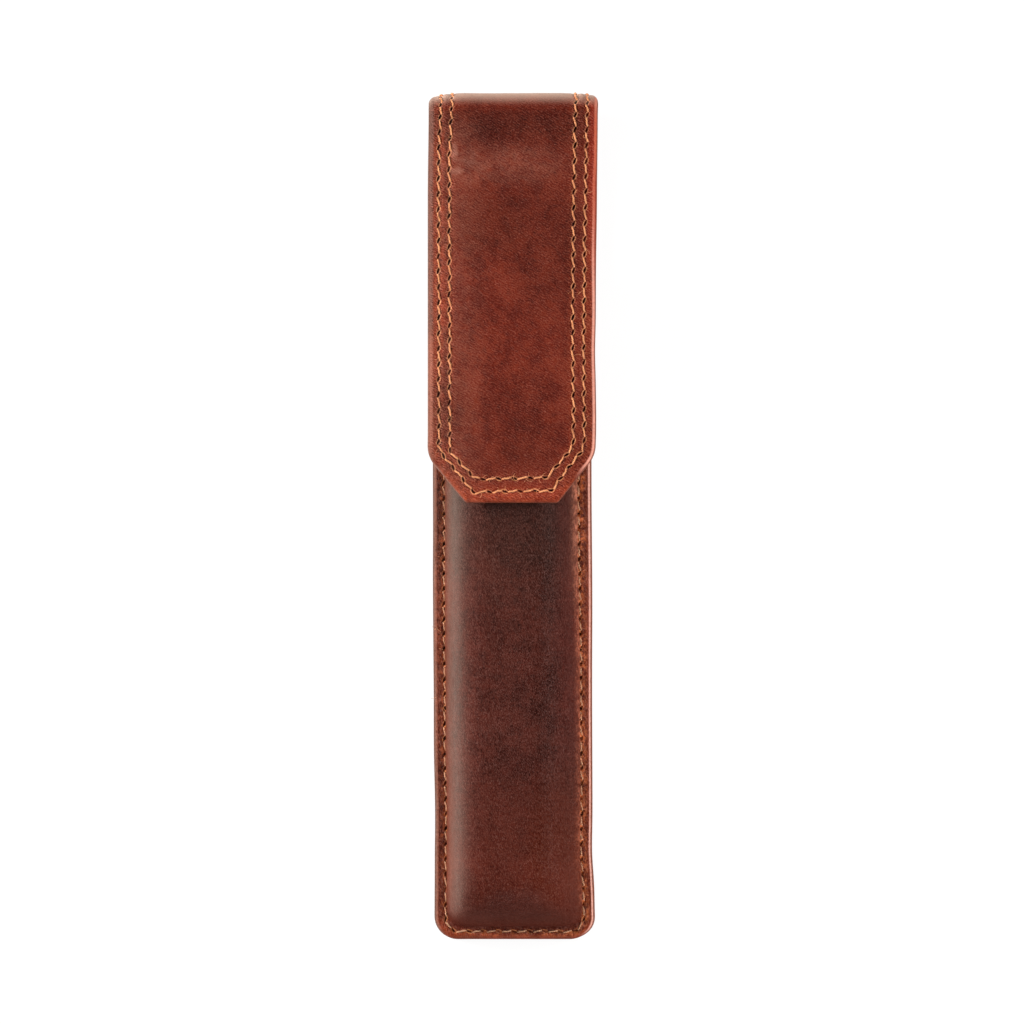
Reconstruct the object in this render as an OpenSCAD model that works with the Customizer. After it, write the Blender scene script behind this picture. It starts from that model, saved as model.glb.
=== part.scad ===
// Slim leather case for one fountain pen.
// It lies on its back: X is the width, +Y points to the folded head end, +Z points up.
// The origin is the centre of the back's resting face.

/* [Case] */
// Overall length of the closed case, foot to head, mm
case_l = 165; // [150:1:185]
// Overall height of the closed case lying on its back, mm
case_t = 20; // [18:0.1:22]
// Width of the pocket body across its stitched flanges, mm
body_w = 31; // [29:0.5:34]
// Width of the flap, mm
flap_w = 33; // [31:0.5:36]
// Radius of the two foot corners, mm
foot_r = 4.3; // [3:0.1:6]
// Radius of the two head corners seen from above, mm
head_r = 2.8; // [1.5:0.1:4]

/* [Leather] */
// Thickness of the outer leather, mm
outer_t = 1.3; // [1.1:0.1:1.4]
// Thickness of the lining leather, mm
lining_t = 0.9; // [0.8:0.1:1]
// Thickness of the stiffener boards, mm
board_t = 0.4; // [0.3:0.05:0.5]
// Outer radius of the two folds at the head, mm
fold_r = 5.5; // [5:0.1:6]

/* [Flap] */
// Length of the flap on the front, head to tip, mm
flap_l = 80; // [70:1:90]
// Width of each corner cut at the tip, mm
cut_x = 7.7; // [5:0.1:9]
// Length of each corner cut at the tip, mm
cut_y = 8.8; // [6:0.1:10]
// Clear gap between the closed flap and the pocket, mm
flap_gap = 0.3; // [0.2:0.05:0.6]

/* [Pocket] */
// Distance from the head to the pocket mouth, mm
mouth_from_head = 34; // [28:1:45]
// Depth of the thumb notch in the mouth, mm
notch_d = 4; // [2:0.5:6]
// Radius of the thumb notch, mm
notch_r = 18; // [14:1:24]
// Half width of the moulded pocket at its foot, mm
pocket_a = 12.9; // [12.5:0.1:13]
// Half width of the flat top of the moulded pocket, mm
pocket_c = 2.5; // [2:0.5:6]
// Length over which the pocket's foot end slopes up, mm
pocket_b = 7.5; // [5:0.5:10]

/* [Stitching] */
// Distance from the edge to the outer row of stitches, mm
seam_in = 2.1; // [1.9:0.1:2.4]
// Distance between the two rows on the flap, mm
row_gap = 2.15; // [1.8:0.05:2.6]
// Stitch pitch, mm
pitch = 3; // [2.5:0.1:4]
// Length of thread that shows in each stitch, mm
stitch_l = 2.3; // [1.8:0.1:2.4]
// Radius of the thread, mm
thread_r = 0.18; // [0.12:0.01:0.2]
// Depth of the stitching groove, mm
groove_d = 0.55; // [0.45:0.05:0.6]
// Width of the stitching groove, mm
groove_w = 0.8; // [0.6:0.05:1]

/* [Magnets] */
// Diameter of the two closure magnets, mm
magnet_d = 10; // [8:0.5:12]
// Thickness of the two closure magnets, mm
magnet_t = 1; // [0.8:0.1:1]
// Distance from the flap's tip to the magnets, mm
magnet_from_tip = 14; // [12:1:20]

/* [Hidden] */
$fn = 48;

e = 0.01;
y_head = case_l / 2;                    // outside of the bridge
y_foot = -case_l / 2;                   // foot edge
y_fold = y_head - fold_r;               // both folds start here
lam_t = outer_t + lining_t;             // thickness of panel and lining together
z_lining = lam_t;                       // top of the back lining
z_flange = 2 * lam_t;                   // top of the stitched flange
z_fin = case_t - lam_t;                 // underside of the flap
z_pocket = z_fin - flap_gap;            // top of the moulded pocket
y_tip = y_head - flap_l;                // tip of the flap
y_mouth = y_head - mouth_from_head;     // mouth of the pocket
y_magnet = y_tip + magnet_from_tip;
z_base = lam_t + lining_t;              // underside of the pocket's outer leather
h_pocket = z_pocket - z_base;           // height of the moulded form
y_notch = y_mouth + notch_r - notch_d;  // centre of the thumb notch
mouth_in = 2.4;                         // distance of the mouth's stitches from its edge
taper_y = 12;                           // length over which the back widens to the flap's width
inner_in = seam_in + row_gap;           // inset of the inner row
y_bar = y_fold - 17;                    // where the inner row crosses the back
dark = [0.30, 0.15, 0.11];
tan_red = [0.45, 0.18, 0.12];
lining_c = [0.42, 0.25, 0.17];
thread_c = [0.80, 0.46, 0.22];
board_c = [0.62, 0.55, 0.45];
steel_c = [0.72, 0.73, 0.75];

// Points on an arc about c, from angle a0 to a1
function arc(c, r, a0, a1, n = 10) = [for (i = [0:n]) c + r * [cos(a0 + (a1 - a0) * i / n), sin(a0 + (a1 - a0) * i / n)]];

// Outline of the pocket body, inset by d, up to height y1
function body_outline(d, y1) = let (h = body_w / 2 - d, r = max(foot_r - d, 0.6), y0 = y_foot + d) concat(
    [[-h, y1]],
    arc([-h + r, y0 + r], r, 180, 270),
    arc([h - r, y0 + r], r, 270, 360),
    [[h, y1]]);

// Outline of the back panel, inset by d, widening to the flap's width just below the fold
function back_outline(d) = let (h = body_w / 2 - d, f = flap_w / 2 - d, r = max(foot_r - d, 0.6), y0 = y_foot + d) concat(
    [[-f, y_fold], [-h, y_fold - taper_y]],
    arc([-h + r, y0 + r], r, 180, 270),
    arc([h - r, y0 + r], r, 270, 360),
    [[h, y_fold - taper_y], [f, y_fold]]);

// Outline of the flap's front, inset by d, with its two cut corners
function flap_outline(d) = let (
    h = flap_w / 2 - d, y0 = y_tip + d, k = norm([cut_x, cut_y]),
    // the cut line moves in by d, so its ends move along the side and along the tip
    sx = d * (k - cut_y) / cut_x, sy = d * (k - cut_x) / cut_y,
    a = [-h, y_tip + cut_y + sx], b = [-flap_w / 2 + cut_x + sy, y0])
    [[-h, y_fold], a, b, [-b[0], b[1]], [h, a[1]], [h, y_fold]];

// Length of a polyline and the point at distance s along it
function seg(p, i) = norm(p[i + 1] - p[i]);
function plen(p, i = 0) = i >= len(p) - 1 ? 0 : seg(p, i) + plen(p, i + 1);
function at(p, s, i = 0) = i >= len(p) - 2 || s <= seg(p, i) ? p[i] + (p[i + 1] - p[i]) * s / seg(p, i) : at(p, s - seg(p, i), i + 1);
// Points spaced evenly along a polyline, about one pitch apart, in at least k steps
function spaced(p, k = 1) = let (l = plen(p), n = max(round(l / pitch), k)) [for (i = [0:n]) at(p, min(i * l / n, l - 0.0001))];
// Needle holes along several legs in turn, with a hole where each leg meets the next
function holes(legs) = [for (j = [0:len(legs) - 1]) let (q = spaced(legs[j], len(legs[j]) > 2 ? 2 : 1)) for (i = [0:len(q) - (j < len(legs) - 1 ? 2 : 1)]) q[i]];
// Each straight side of a polyline as a leg of its own
function sides(p) = [for (i = [0:len(p) - 2]) [p[i], p[i + 1]]];
// Legs of the seam down one side, round the foot and up the other side
function seam_legs(d, top) = let (h = body_w / 2 - d, r = max(foot_r - d, 0.6), y0 = y_foot + d) concat(
    sides(concat([for (q = top) [-q[0], q[1]]], [[-h, y0 + r]])),
    [arc([-h + r, y0 + r], r, 180, 270), [[-h + r, y0], [h - r, y0]], arc([h - r, y0 + r], r, 270, 360)],
    sides(concat([[h, y0 + r]], [for (i = [len(top) - 1:-1:0]) top[i]])));
// The same points lifted to height z
function lifted(p, z) = [for (q = p) [q[0], q[1], z]];

// One length of thread between two needle holes
module stitch(a, b) {
    d = b - a;
    l = norm(d);
    m = (a + b) / 2;
    s = min(stitch_l, l - 0.5);
    translate(m)
        rotate([0, acos(d[2] / l), atan2(d[1], d[0])])
            cylinder(r = thread_r, h = s, center = true, $fn = 16);
}

// A row of stitches through the given holes
module row_of_stitches(p) {
    color(thread_c) for (i = [0:len(p) - 2]) stitch(p[i], p[i + 1]);
}

// A groove that follows the outline between insets d0 and d1
module groove_band(kind, d0, d1, z0, h, y1 = 0) {
    translate([0, 0, z0]) linear_extrude(h) difference() {
        if (kind == "body") polygon(body_outline(d0, y1 + 1));
        if (kind == "back") polygon(back_outline(d0));
        if (kind == "flap") polygon(flap_outline(d0));
        if (kind == "body") polygon(concat([[-body_w / 2 + d1, y1 + 2]], body_outline(d1, y1 + 1), [[body_w / 2 - d1, y1 + 2]]));
        if (kind == "back") union() { polygon(back_outline(d1)); translate([-flap_w / 2 + d1, y_fold - e]) square([flap_w - 2 * d1, 1]); }
        if (kind == "flap") union() { polygon(flap_outline(d1)); translate([-flap_w / 2 + d1, y_fold - e]) square([flap_w - 2 * d1, 1]); }
    }
}

// Everything inside the case's plan outline at the head end, with its rounded corners
module head_prism() {
    h = flap_w / 2;
    translate([0, 0, -1]) linear_extrude(case_t + 2) polygon(concat(
        [[-h, y_fold - e], [h, y_fold - e]],
        arc([h - head_r, y_head - head_r], head_r, 0, 90),
        arc([-h + head_r, y_head - head_r], head_r, 90, 180)));
}

// A quarter bend about an axis along X through (y_fold, zc); up = 1 bends the head's upper edge
module quarter_bend(zc, r_out, r_in, up) {
    w = flap_w + 2;
    intersection() {
        translate([-w / 2, y_fold, zc]) rotate([0, 90, 0]) difference() {
            cylinder(r = r_out, h = w, $fn = 64);
            translate([0, 0, -1]) cylinder(r = r_in, h = w + 2, $fn = 64);
        }
        translate([-w / 2, y_fold, up > 0 ? zc : zc - r_out - 1]) cube([w, r_out + 1, r_out + 1]);
        head_prism();
    }
}

// Rings that cut the two pairs of stitching grooves in a bend
module bend_grooves(zc, r_out, r_in, up) {
    for (d = [seam_in, inner_in], s = [-1, 1])
        translate([s * (flap_w / 2 - d) - groove_w / 2, y_fold, zc]) rotate([0, 90, 0]) difference() {
            cylinder(r = r_out, h = groove_w, $fn = 64);
            translate([0, 0, -1]) cylinder(r = r_in, h = groove_w + 2, $fn = 64);
        }
}

// Height of the moulded pocket above its base at x, for half width a and height h
function dome(x, a, h) = let (t = max(abs(x) - pocket_c, 0) / (a - pocket_c)) h * pow(max(1 - pow(t, 2), 0), 1 / 2);

// Solid form of the moulded pocket: half width a, height h above z0, foot end at y0
module pocket_form(a, h, z0, y0, y1) {
    n = 18;
    side = [for (i = [0:2 * n]) let (q = 180 * i / (2 * n), x = -a * cos(q)) [x, dome(x, a, h)]];
    foot = concat([[y1, 0], [y0, 0]],
        [for (i = [1:12]) let (t = 1 - (1 - cos(90 * i / 12))) [y0 + pocket_b * (1 - t), h * pow(max(1 - pow(t, 2), 0), 1 / 2)]],
        [[y1, h]]);
    intersection() {
        translate([0, y1, z0]) rotate([90, 0, 0]) linear_extrude(y1 - y0) polygon(concat([[a, 0], [-a, 0]], [for (i = [1:2 * n - 1]) side[i]]));
        translate([-a - 1, 0, z0]) rotate([90, 0, 90]) linear_extrude(2 * a + 2) polygon(foot);
        translate([0, 0, z0 - 1]) linear_extrude(h + 2) polygon(concat([[-a, y1]],
            arc([-a + 3, y0 + 3], 3, 180, 270), arc([a - 3, y0 + 3], 3, 270, 360), [[a, y1]]));
    }
}

// Space above the pocket mouth, with the thumb notch
module mouth_cut() {
    translate([-body_w, y_mouth, -1]) cube([2 * body_w, case_l, case_t + 2]);
    translate([0, y_notch, z_lining + 3]) cylinder(r = notch_r, h = case_t, $fn = 96);
}

module magnet(z) {
    translate([0, y_magnet, z]) cylinder(d = magnet_d, h = magnet_t, $fn = 64);
}

// Groove for the row along the mouth, following the moulded front
module mouth_groove() {
    intersection() {
        translate([0, y_notch, 0]) difference() {
            cylinder(r = notch_r + mouth_in + groove_w / 2, h = case_t, $fn = 96);
            translate([0, 0, -1]) cylinder(r = notch_r + mouth_in - groove_w / 2, h = case_t + 2, $fn = 96);
        }
        difference() {
            translate([-10.9, y_mouth - 20, z_base + 2]) cube([21.8, 20, case_t]);
            pocket_form(pocket_a - groove_d, h_pocket - groove_d, z_base, y_foot + 5, y_mouth + 1);
        }
    }
}

// Outer leather of the back
module back_panel() {
    color(tan_red) difference() {
        linear_extrude(outer_t) polygon(back_outline(0));
        groove_band("back", seam_in - groove_w / 2, seam_in + groove_w / 2, -e, groove_d + e);
        back_row_groove(-e, groove_d + e);
    }
}

// Groove of the inner row where it turns across the back
module back_row_groove(z0, h) {
    w = flap_w / 2 - inner_in;
    translate([0, 0, z0]) linear_extrude(h) {
        for (s = [-1, 1]) translate([s * w - groove_w / 2, y_bar - groove_w / 2]) square([groove_w, y_fold - y_bar + 1]);
        translate([-w, y_bar - groove_w / 2]) square([2 * w, groove_w]);
    }
}

// Stiffener board glued between the back and its lining
module back_stiffener() {
    color(board_c) translate([-9.5, y_foot + 8, outer_t]) cube([19, y_bar - y_foot - 12, board_t]);
}

module back_lining() {
    color(lining_c) difference() {
        translate([0, 0, outer_t]) linear_extrude(lining_t) polygon(back_outline(0));
        translate([-9.5, y_foot + 8, outer_t - e]) cube([19, y_bar - y_foot - 12, board_t + e]);
        // grooves only where no flange lies on the lining
        difference() {
            groove_band("back", seam_in - groove_w / 2, seam_in + groove_w / 2, z_lining - 0.45, 1);
            translate([-body_w, y_foot - 1, 0]) cube([2 * body_w, y_mouth - y_foot + 1, case_t]);
        }
        back_row_groove(z_lining - 0.45, 1);
    }
}

// Moulded outer leather of the pocket with its sewn flange
module front_panel() {
    y0 = y_foot + seam_in + 0.6;
    color(dark) difference() {
        union() {
            translate([0, 0, z_base]) linear_extrude(outer_t) polygon(body_outline(0, y_mouth));
            pocket_form(pocket_a, h_pocket, z_base, y0, y_mouth);
        }
        translate([0, 0, -e]) pocket_form(pocket_a - outer_t, h_pocket - outer_t + e, z_base, y0 + outer_t, y_mouth + 1);
        groove_band("body", seam_in - groove_w / 2, seam_in + groove_w / 2, z_flange - groove_d, groove_d + e, y_mouth);
        mouth_cut();
        mouth_groove();
        magnet(z_pocket - outer_t - magnet_t / 2);
    }
}

// Lining of the pocket
module front_lining() {
    y0 = y_foot + seam_in + 0.6;
    color(lining_c) difference() {
        union() {
            translate([0, 0, lam_t]) linear_extrude(lining_t) polygon(body_outline(0, y_mouth));
            pocket_form(pocket_a - outer_t, h_pocket - outer_t, z_base, y0 + outer_t, y_mouth);
        }
        translate([0, 0, -e]) pocket_form(pocket_a - lam_t, z_pocket - 2 * lam_t + e, lam_t, y0 + lam_t, y_mouth + 1);
        mouth_cut();
        magnet(z_pocket - outer_t - magnet_t / 2);
    }
}

module pocket_magnet() {
    color(steel_c) magnet(z_pocket - outer_t - magnet_t / 2);
}

// Long seam round the body: front of the flange, back face and, above the mouth, the back lining
module body_seam_thread() {
    h = body_w / 2 - seam_in;
    row_of_stitches(lifted(holes(seam_legs(seam_in, [[h, y_mouth - 1.2]])), z_flange - 0.28));
    row_of_stitches(lifted(holes(seam_legs(seam_in, [[flap_w / 2 - seam_in, y_fold], [h, y_fold - taper_y]])), 0.28));
    for (s = [-1, 1])
        row_of_stitches(lifted(holes(sides([[s * h, y_mouth + 1.2], [s * h, y_fold - taper_y], [s * (flap_w / 2 - seam_in), y_fold]])), z_lining - 0.24));
}

// Inner row where it runs on over the head and turns across the back
module back_row_thread() {
    w = flap_w / 2 - inner_in;
    p = holes(sides([[-w, y_fold], [-w, y_bar], [w, y_bar], [w, y_fold]]));
    row_of_stitches(lifted(p, 0.28));
    row_of_stitches(lifted(p, z_lining - 0.24));
}

// Row that follows the edge of the pocket's mouth, over the moulded front
module mouth_thread() {
    n = 60;
    row_of_stitches(spaced([for (i = [0:n]) let (x = 10.4 * (-1 + 2 * i / n), r = notch_r + mouth_in)
        [x, y_notch - sqrt(r * r - x * x), z_base + dome(x, pocket_a - 0.25, h_pocket - 0.25)]]));
}

// Outer leather where it bends up from the back to the bridge
module rear_fold() {
    color(tan_red) difference() {
        quarter_bend(fold_r, fold_r, fold_r - outer_t, -1);
        bend_grooves(fold_r, fold_r + 1, fold_r - groove_d, -1);
    }
}

module rear_fold_lining() {
    color(lining_c) quarter_bend(fold_r, fold_r - outer_t, fold_r - lam_t, -1);
}

// Stitches that follow a bend about (y_fold, zc), from angle a0 to a1 measured from +Y towards +Z
module bend_stitches(zc, a0, a1) {
    r = fold_r - 0.22;
    n = 3;
    for (d = [seam_in, inner_in], s = [-1, 1])
        row_of_stitches([for (i = [0:n]) let (a = a0 + (a1 - a0) * i / n) [s * (flap_w / 2 - d), y_fold + r * cos(a), zc + r * sin(a)]]);
}

module rear_fold_thread() {
    bend_stitches(fold_r, -90, 0);
}

// Outer leather across the head, between the two folds
module bridge_panel() {
    color(tan_red) difference() {
        intersection() {
            translate([-flap_w / 2, y_head - outer_t, fold_r]) cube([flap_w, outer_t, case_t - 2 * fold_r]);
            head_prism();
        }
        for (d = [seam_in, inner_in], s = [-1, 1])
            translate([s * (flap_w / 2 - d) - groove_w / 2, y_head - groove_d, fold_r - 1]) cube([groove_w, 2, case_t - 2 * fold_r + 2]);
    }
}

module bridge_lining() {
    color(lining_c) intersection() {
        translate([-flap_w / 2, y_head - lam_t, fold_r]) cube([flap_w, lining_t, case_t - 2 * fold_r]);
        head_prism();
    }
}

module bridge_thread() {
    h = case_t - 2 * fold_r;
    n = round(h / pitch);
    for (d = [seam_in, inner_in], s = [-1, 1])
        row_of_stitches([for (i = [0:n]) [s * (flap_w / 2 - d), y_head - 0.28, fold_r + h * i / n]]);
}

// Outer leather where it bends over from the bridge to the front of the flap
module front_fold() {
    color(tan_red) difference() {
        quarter_bend(case_t - fold_r, fold_r, fold_r - outer_t, 1);
        bend_grooves(case_t - fold_r, fold_r + 1, fold_r - groove_d, 1);
    }
}

module front_fold_lining() {
    color(lining_c) quarter_bend(case_t - fold_r, fold_r - outer_t, fold_r - lam_t, 1);
}

module front_fold_thread() {
    bend_stitches(case_t - fold_r, 0, 90);
}

// Outer leather of the flap
module flap_panel() {
    color(tan_red) difference() {
        translate([0, 0, case_t - outer_t]) linear_extrude(outer_t) polygon(flap_outline(0));
        groove_band("flap", seam_in - groove_w / 2, seam_in + groove_w / 2, case_t - groove_d, 1);
        groove_band("flap", inner_in - groove_w / 2, inner_in + groove_w / 2, case_t - groove_d, 1);
        magnet(case_t - outer_t - 0.4);
    }
}

// Stiffener board glued between the flap and its lining, with a hole for the magnet
module flap_stiffener() {
    color(board_c) difference() {
        translate([-9.5, y_tip + 8, case_t - outer_t - board_t]) cube([19, flap_l - fold_r - 11, board_t]);
        translate([0, y_magnet, 0]) cylinder(d = magnet_d + 0.4, h = case_t + 1, $fn = 64);
    }
}

module flap_lining() {
    color(lining_c) difference() {
        translate([0, 0, z_fin]) linear_extrude(lining_t) polygon(flap_outline(0));
        translate([-9.5, y_tip + 8, case_t - outer_t - board_t]) cube([19, flap_l - fold_r - 11, board_t + e]);
        groove_band("flap", seam_in - groove_w / 2, seam_in + groove_w / 2, z_fin - 1, 1.42);
        groove_band("flap", inner_in - groove_w / 2, inner_in + groove_w / 2, z_fin - 1, 1.42);
    }
}

module flap_magnet() {
    color(steel_c) magnet(case_t - outer_t - 0.4);
}

module flap_rows(d) {
    p = holes(sides(flap_outline(d)));
    row_of_stitches(lifted(p, case_t - 0.28));
    row_of_stitches(lifted(p, z_fin + 0.22));
}

module flap_outer_thread() { flap_rows(seam_in); }
module flap_inner_thread() { flap_rows(inner_in); }

back_panel();
back_stiffener();
back_lining();
front_panel();
front_lining();
pocket_magnet();
body_seam_thread();
back_row_thread();
mouth_thread();
rear_fold();
rear_fold_lining();
rear_fold_thread();
bridge_panel();
bridge_lining();
bridge_thread();
front_fold();
front_fold_lining();
front_fold_thread();
flap_panel();
flap_stiffener();
flap_lining();
flap_magnet();
flap_outer_thread();
flap_inner_thread();
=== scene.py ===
import bpy
import math
import numpy as np
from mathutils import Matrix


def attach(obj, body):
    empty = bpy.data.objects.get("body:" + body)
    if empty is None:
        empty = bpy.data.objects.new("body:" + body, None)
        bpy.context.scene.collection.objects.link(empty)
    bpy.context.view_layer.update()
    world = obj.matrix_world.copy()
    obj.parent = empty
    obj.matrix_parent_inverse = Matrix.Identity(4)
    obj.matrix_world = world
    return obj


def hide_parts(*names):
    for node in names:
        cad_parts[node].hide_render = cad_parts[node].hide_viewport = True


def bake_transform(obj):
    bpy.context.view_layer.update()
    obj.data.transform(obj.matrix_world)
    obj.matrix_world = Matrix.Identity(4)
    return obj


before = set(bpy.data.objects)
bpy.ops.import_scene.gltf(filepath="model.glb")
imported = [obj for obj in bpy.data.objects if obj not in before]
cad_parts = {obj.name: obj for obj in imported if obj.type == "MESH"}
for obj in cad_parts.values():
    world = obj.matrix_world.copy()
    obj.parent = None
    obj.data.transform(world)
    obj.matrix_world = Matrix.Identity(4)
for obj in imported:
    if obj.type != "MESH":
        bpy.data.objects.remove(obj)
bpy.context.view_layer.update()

MM = 0.001

# ---------------------------------------------------------------- sizes, in mm, as in the CAD
HEAD, FOOT, TOP = 82.5, -82.5, 20.0
FOLD_R = 5.5
Y_FOLD = HEAD - FOLD_R
ARC = FOLD_R * math.pi / 2
BRIDGE = TOP - 2 * FOLD_R
Q1 = Y_FOLD                      # developed length along the strip: the flap's y, then on round the head
Q2 = Q1 + ARC
Q3 = Q2 + BRIDGE
Q4 = Q3 + ARC
Q_FOOT = Q4 + (Y_FOLD - FOOT) + 0.08
Q_MID = (Q2 + Q3) / 2
Q_BAR = Q4 + 17.0
TIP = 2.6
W_FLAP, W_BODY = 16.38, 15.47
EDGE_R = 1.12
MOUTH, NOTCH_R, NOTCH_D = 48.5, 18.0, 4.0


# ---------------------------------------------------------------- small maths
def smooth(a, b, x):
    t = np.clip((x - a) / (b - a), 0, 1)
    return t * t * (3 - 2 * t)


def hash2(i, j, seed):
    h = np.sin(i * 127.1 + j * 311.7 + seed * 74.7) * 43758.5453
    return h - np.floor(h)


def vnoise(x, y, seed=0):
    """Smooth value noise from 0 to 1."""
    i, j = np.floor(x), np.floor(y)
    u, v = x - i, y - j
    u, v = u * u * (3 - 2 * u), v * v * (3 - 2 * v)
    a, b = hash2(i, j, seed), hash2(i + 1, j, seed)
    c, d = hash2(i, j + 1, seed), hash2(i + 1, j + 1, seed)
    return (a * (1 - u) + b * u) * (1 - v) + (c * (1 - u) + d * u) * v


def fbm(x, y, seed=0, octaves=3):
    total, amp, f, norm = 0.0, 1.0, 1.0, 0.0
    for k in range(octaves):
        total = total + amp * vnoise(x * f, y * f, seed + 13 * k)
        norm += amp
        amp, f = amp * 0.5, f * 2.03
    return total / norm


def fillet(points, radii, n=10, closed=True):
    """A polygon with rounded corners, as a polyline."""
    p = [np.array(q, float) for q in points]
    out = []
    m = len(p)
    for i in range(m):
        if not closed and i in (0, m - 1):
            out.append(p[i])
            continue
        a, b, c = p[i - 1], p[i], p[(i + 1) % m]
        r = radii[i]
        u, v = (a - b) / np.linalg.norm(a - b), (c - b) / np.linalg.norm(c - b)
        ang = math.acos(max(-1, min(1, float(u @ v))))
        if r <= 0 or ang > math.pi - 1e-3:
            out.append(b)
            continue
        t = r / math.tan(ang / 2)
        s, e = b + u * t, b + v * t
        k = (u + v) / np.linalg.norm(u + v)
        cen = b + k * r / math.sin(ang / 2)
        a0 = math.atan2(*(s - cen)[::-1])
        a1 = math.atan2(*(e - cen)[::-1])
        da = (a1 - a0 + math.pi) % (2 * math.pi) - math.pi
        for j in range(n + 1):
            q = a0 + da * j / n
            out.append(cen + r * np.array([math.cos(q), math.sin(q)]))
    return np.array(out)


class Path:
    """A polyline with lengths, and nearest distance and place along it."""

    def __init__(self, pts, closed):
        self.p = np.array(pts, float)
        if closed:
            self.p = np.vstack([self.p, self.p[:1]])
        keep = np.r_[True, np.linalg.norm(np.diff(self.p, axis=0), axis=1) > 1e-6]
        self.p = self.p[keep]
        self.d = np.diff(self.p, axis=0)
        self.l = np.linalg.norm(self.d, axis=1)
        self.cum = np.r_[0, np.cumsum(self.l)]
        self.total = self.cum[-1]
        self.closed = closed

    def project(self, x, y):
        """Length along, and signed distance (positive to the left of travel), of the nearest point."""
        best = np.full(x.shape, 1e9)
        s_out, d_out = np.zeros(x.shape), np.zeros(x.shape)
        for k in range(len(self.l)):
            a, t = self.p[k], self.d[k] / self.l[k]
            rx, ry = x - a[0], y - a[1]
            s = np.clip(rx * t[0] + ry * t[1], 0, self.l[k])
            ex, ey = rx - s * t[0], ry - s * t[1]
            dist = np.hypot(ex, ey)
            side = np.sign(t[0] * ry - t[1] * rx)
            better = dist < best - 1e-9
            best = np.where(better, dist, best)
            s_out = np.where(better, self.cum[k] + s, s_out)
            d_out = np.where(better, dist * side, d_out)
        return s_out, d_out

    def at(self, s):
        s = np.mod(s, self.total) if self.closed else np.clip(s, 0, self.total)
        return np.stack([np.interp(s, self.cum, self.p[:, 0]), np.interp(s, self.cum, self.p[:, 1])], -1)

    def tangent(self, s, h=0.25):
        v = self.at(s + h) - self.at(s - h)
        return v / np.maximum(np.linalg.norm(v, axis=-1, keepdims=True), 1e-9)


SLIT_ANGLE = math.radians(20)


class Row:
    """Needle holes along a path, each with a little play in its place."""

    def __init__(self, path, pitch, seed, phase_at=None, length=0.56, width=0.15):
        self.path = path
        rs = np.random.RandomState(seed)
        if path.closed:
            n = int(round(path.total / pitch))
            self.pitch = path.total / n
            start = 0.0
            if phase_at is not None:
                start = float(path.project(np.array([phase_at[0]]), np.array([phase_at[1]]))[0][0]) % self.pitch
            base = start + self.pitch * np.arange(n)
        else:
            n = int(path.total // pitch) + 1
            self.pitch = path.total / (n - 1)
            base = self.pitch * np.arange(n)
        self.l = base + rs.uniform(-0.14, 0.14, n)
        self.side = rs.uniform(-0.06, 0.06, n)
        self.n = n
        self.length, self.width = length, width
        if path.closed:
            self.lx = np.r_[self.l[-1] - path.total, self.l, self.l[0] + path.total]
            self.sx = np.r_[self.side[-1], self.side, self.side[0]]
            self.kx = np.arange(-1, n + 1, dtype=float)
        else:
            self.lx = np.r_[self.l[0] - self.pitch, self.l, self.l[-1] + self.pitch]
            self.sx = np.r_[0, self.side, 0]
            self.kx = np.arange(-1, n + 1, dtype=float)

    def coords(self, x, y):
        """(a, d): a counts holes along the row, d is the distance to its left in mm."""
        s, d = self.path.project(x, y)
        k = np.interp(s, self.lx, self.kx)
        return k, d - np.interp(s, self.lx, self.sx)

    def local(self, k, d):
        """Coordinates along and across the nearest slit, in mm."""
        a = (np.mod(k + 0.5, 1.0) - 0.5) * self.pitch
        c, s = math.cos(SLIT_ANGLE), math.sin(SLIT_ANGLE)
        return a * c - d * s, a * s + d * c, a

    def relief(self, k, d, slit=0.3, groove=0.11, pucker=0.10, rim=0.07):
        """Depth below the surface that the stitches press in."""
        e1, e2, a = self.local(k, d)
        r = np.sqrt((e1 / self.length) ** 2 + (e2 / (self.width * 1.25)) ** 2)
        dep = slit * (1 - smooth(0.45, 1.25, r))
        dep = dep + groove * np.exp(-(d / 0.42) ** 2)
        dep = dep + pucker * np.exp(-(a / 0.75) ** 2 - (d / 0.85) ** 2)
        for sgn in (-1, 1):
            dep = dep - rim * np.exp(-((e2 - sgn * 0.34) / 0.15) ** 2 - ((e1 + sgn * 0.12) / 0.5) ** 2)
        return dep


# ---------------------------------------------------------------- the strip, laid flat: x across, q along
strip_poly = [(-W_BODY, Q_FOOT), (-W_BODY, Q4 + 12), (-W_FLAP, Q4), (-W_FLAP, 11.7), (-8.95, TIP), (8.95, TIP),
              (W_FLAP, 11.7), (W_FLAP, Q4), (W_BODY, Q4 + 12), (W_BODY, Q_FOOT)]
strip_edge = Path(fillet(strip_poly, [4.5, 30, 30, 6.0, 1.1, 1.1, 6.0, 30, 30, 4.5], 12), True)
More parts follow.
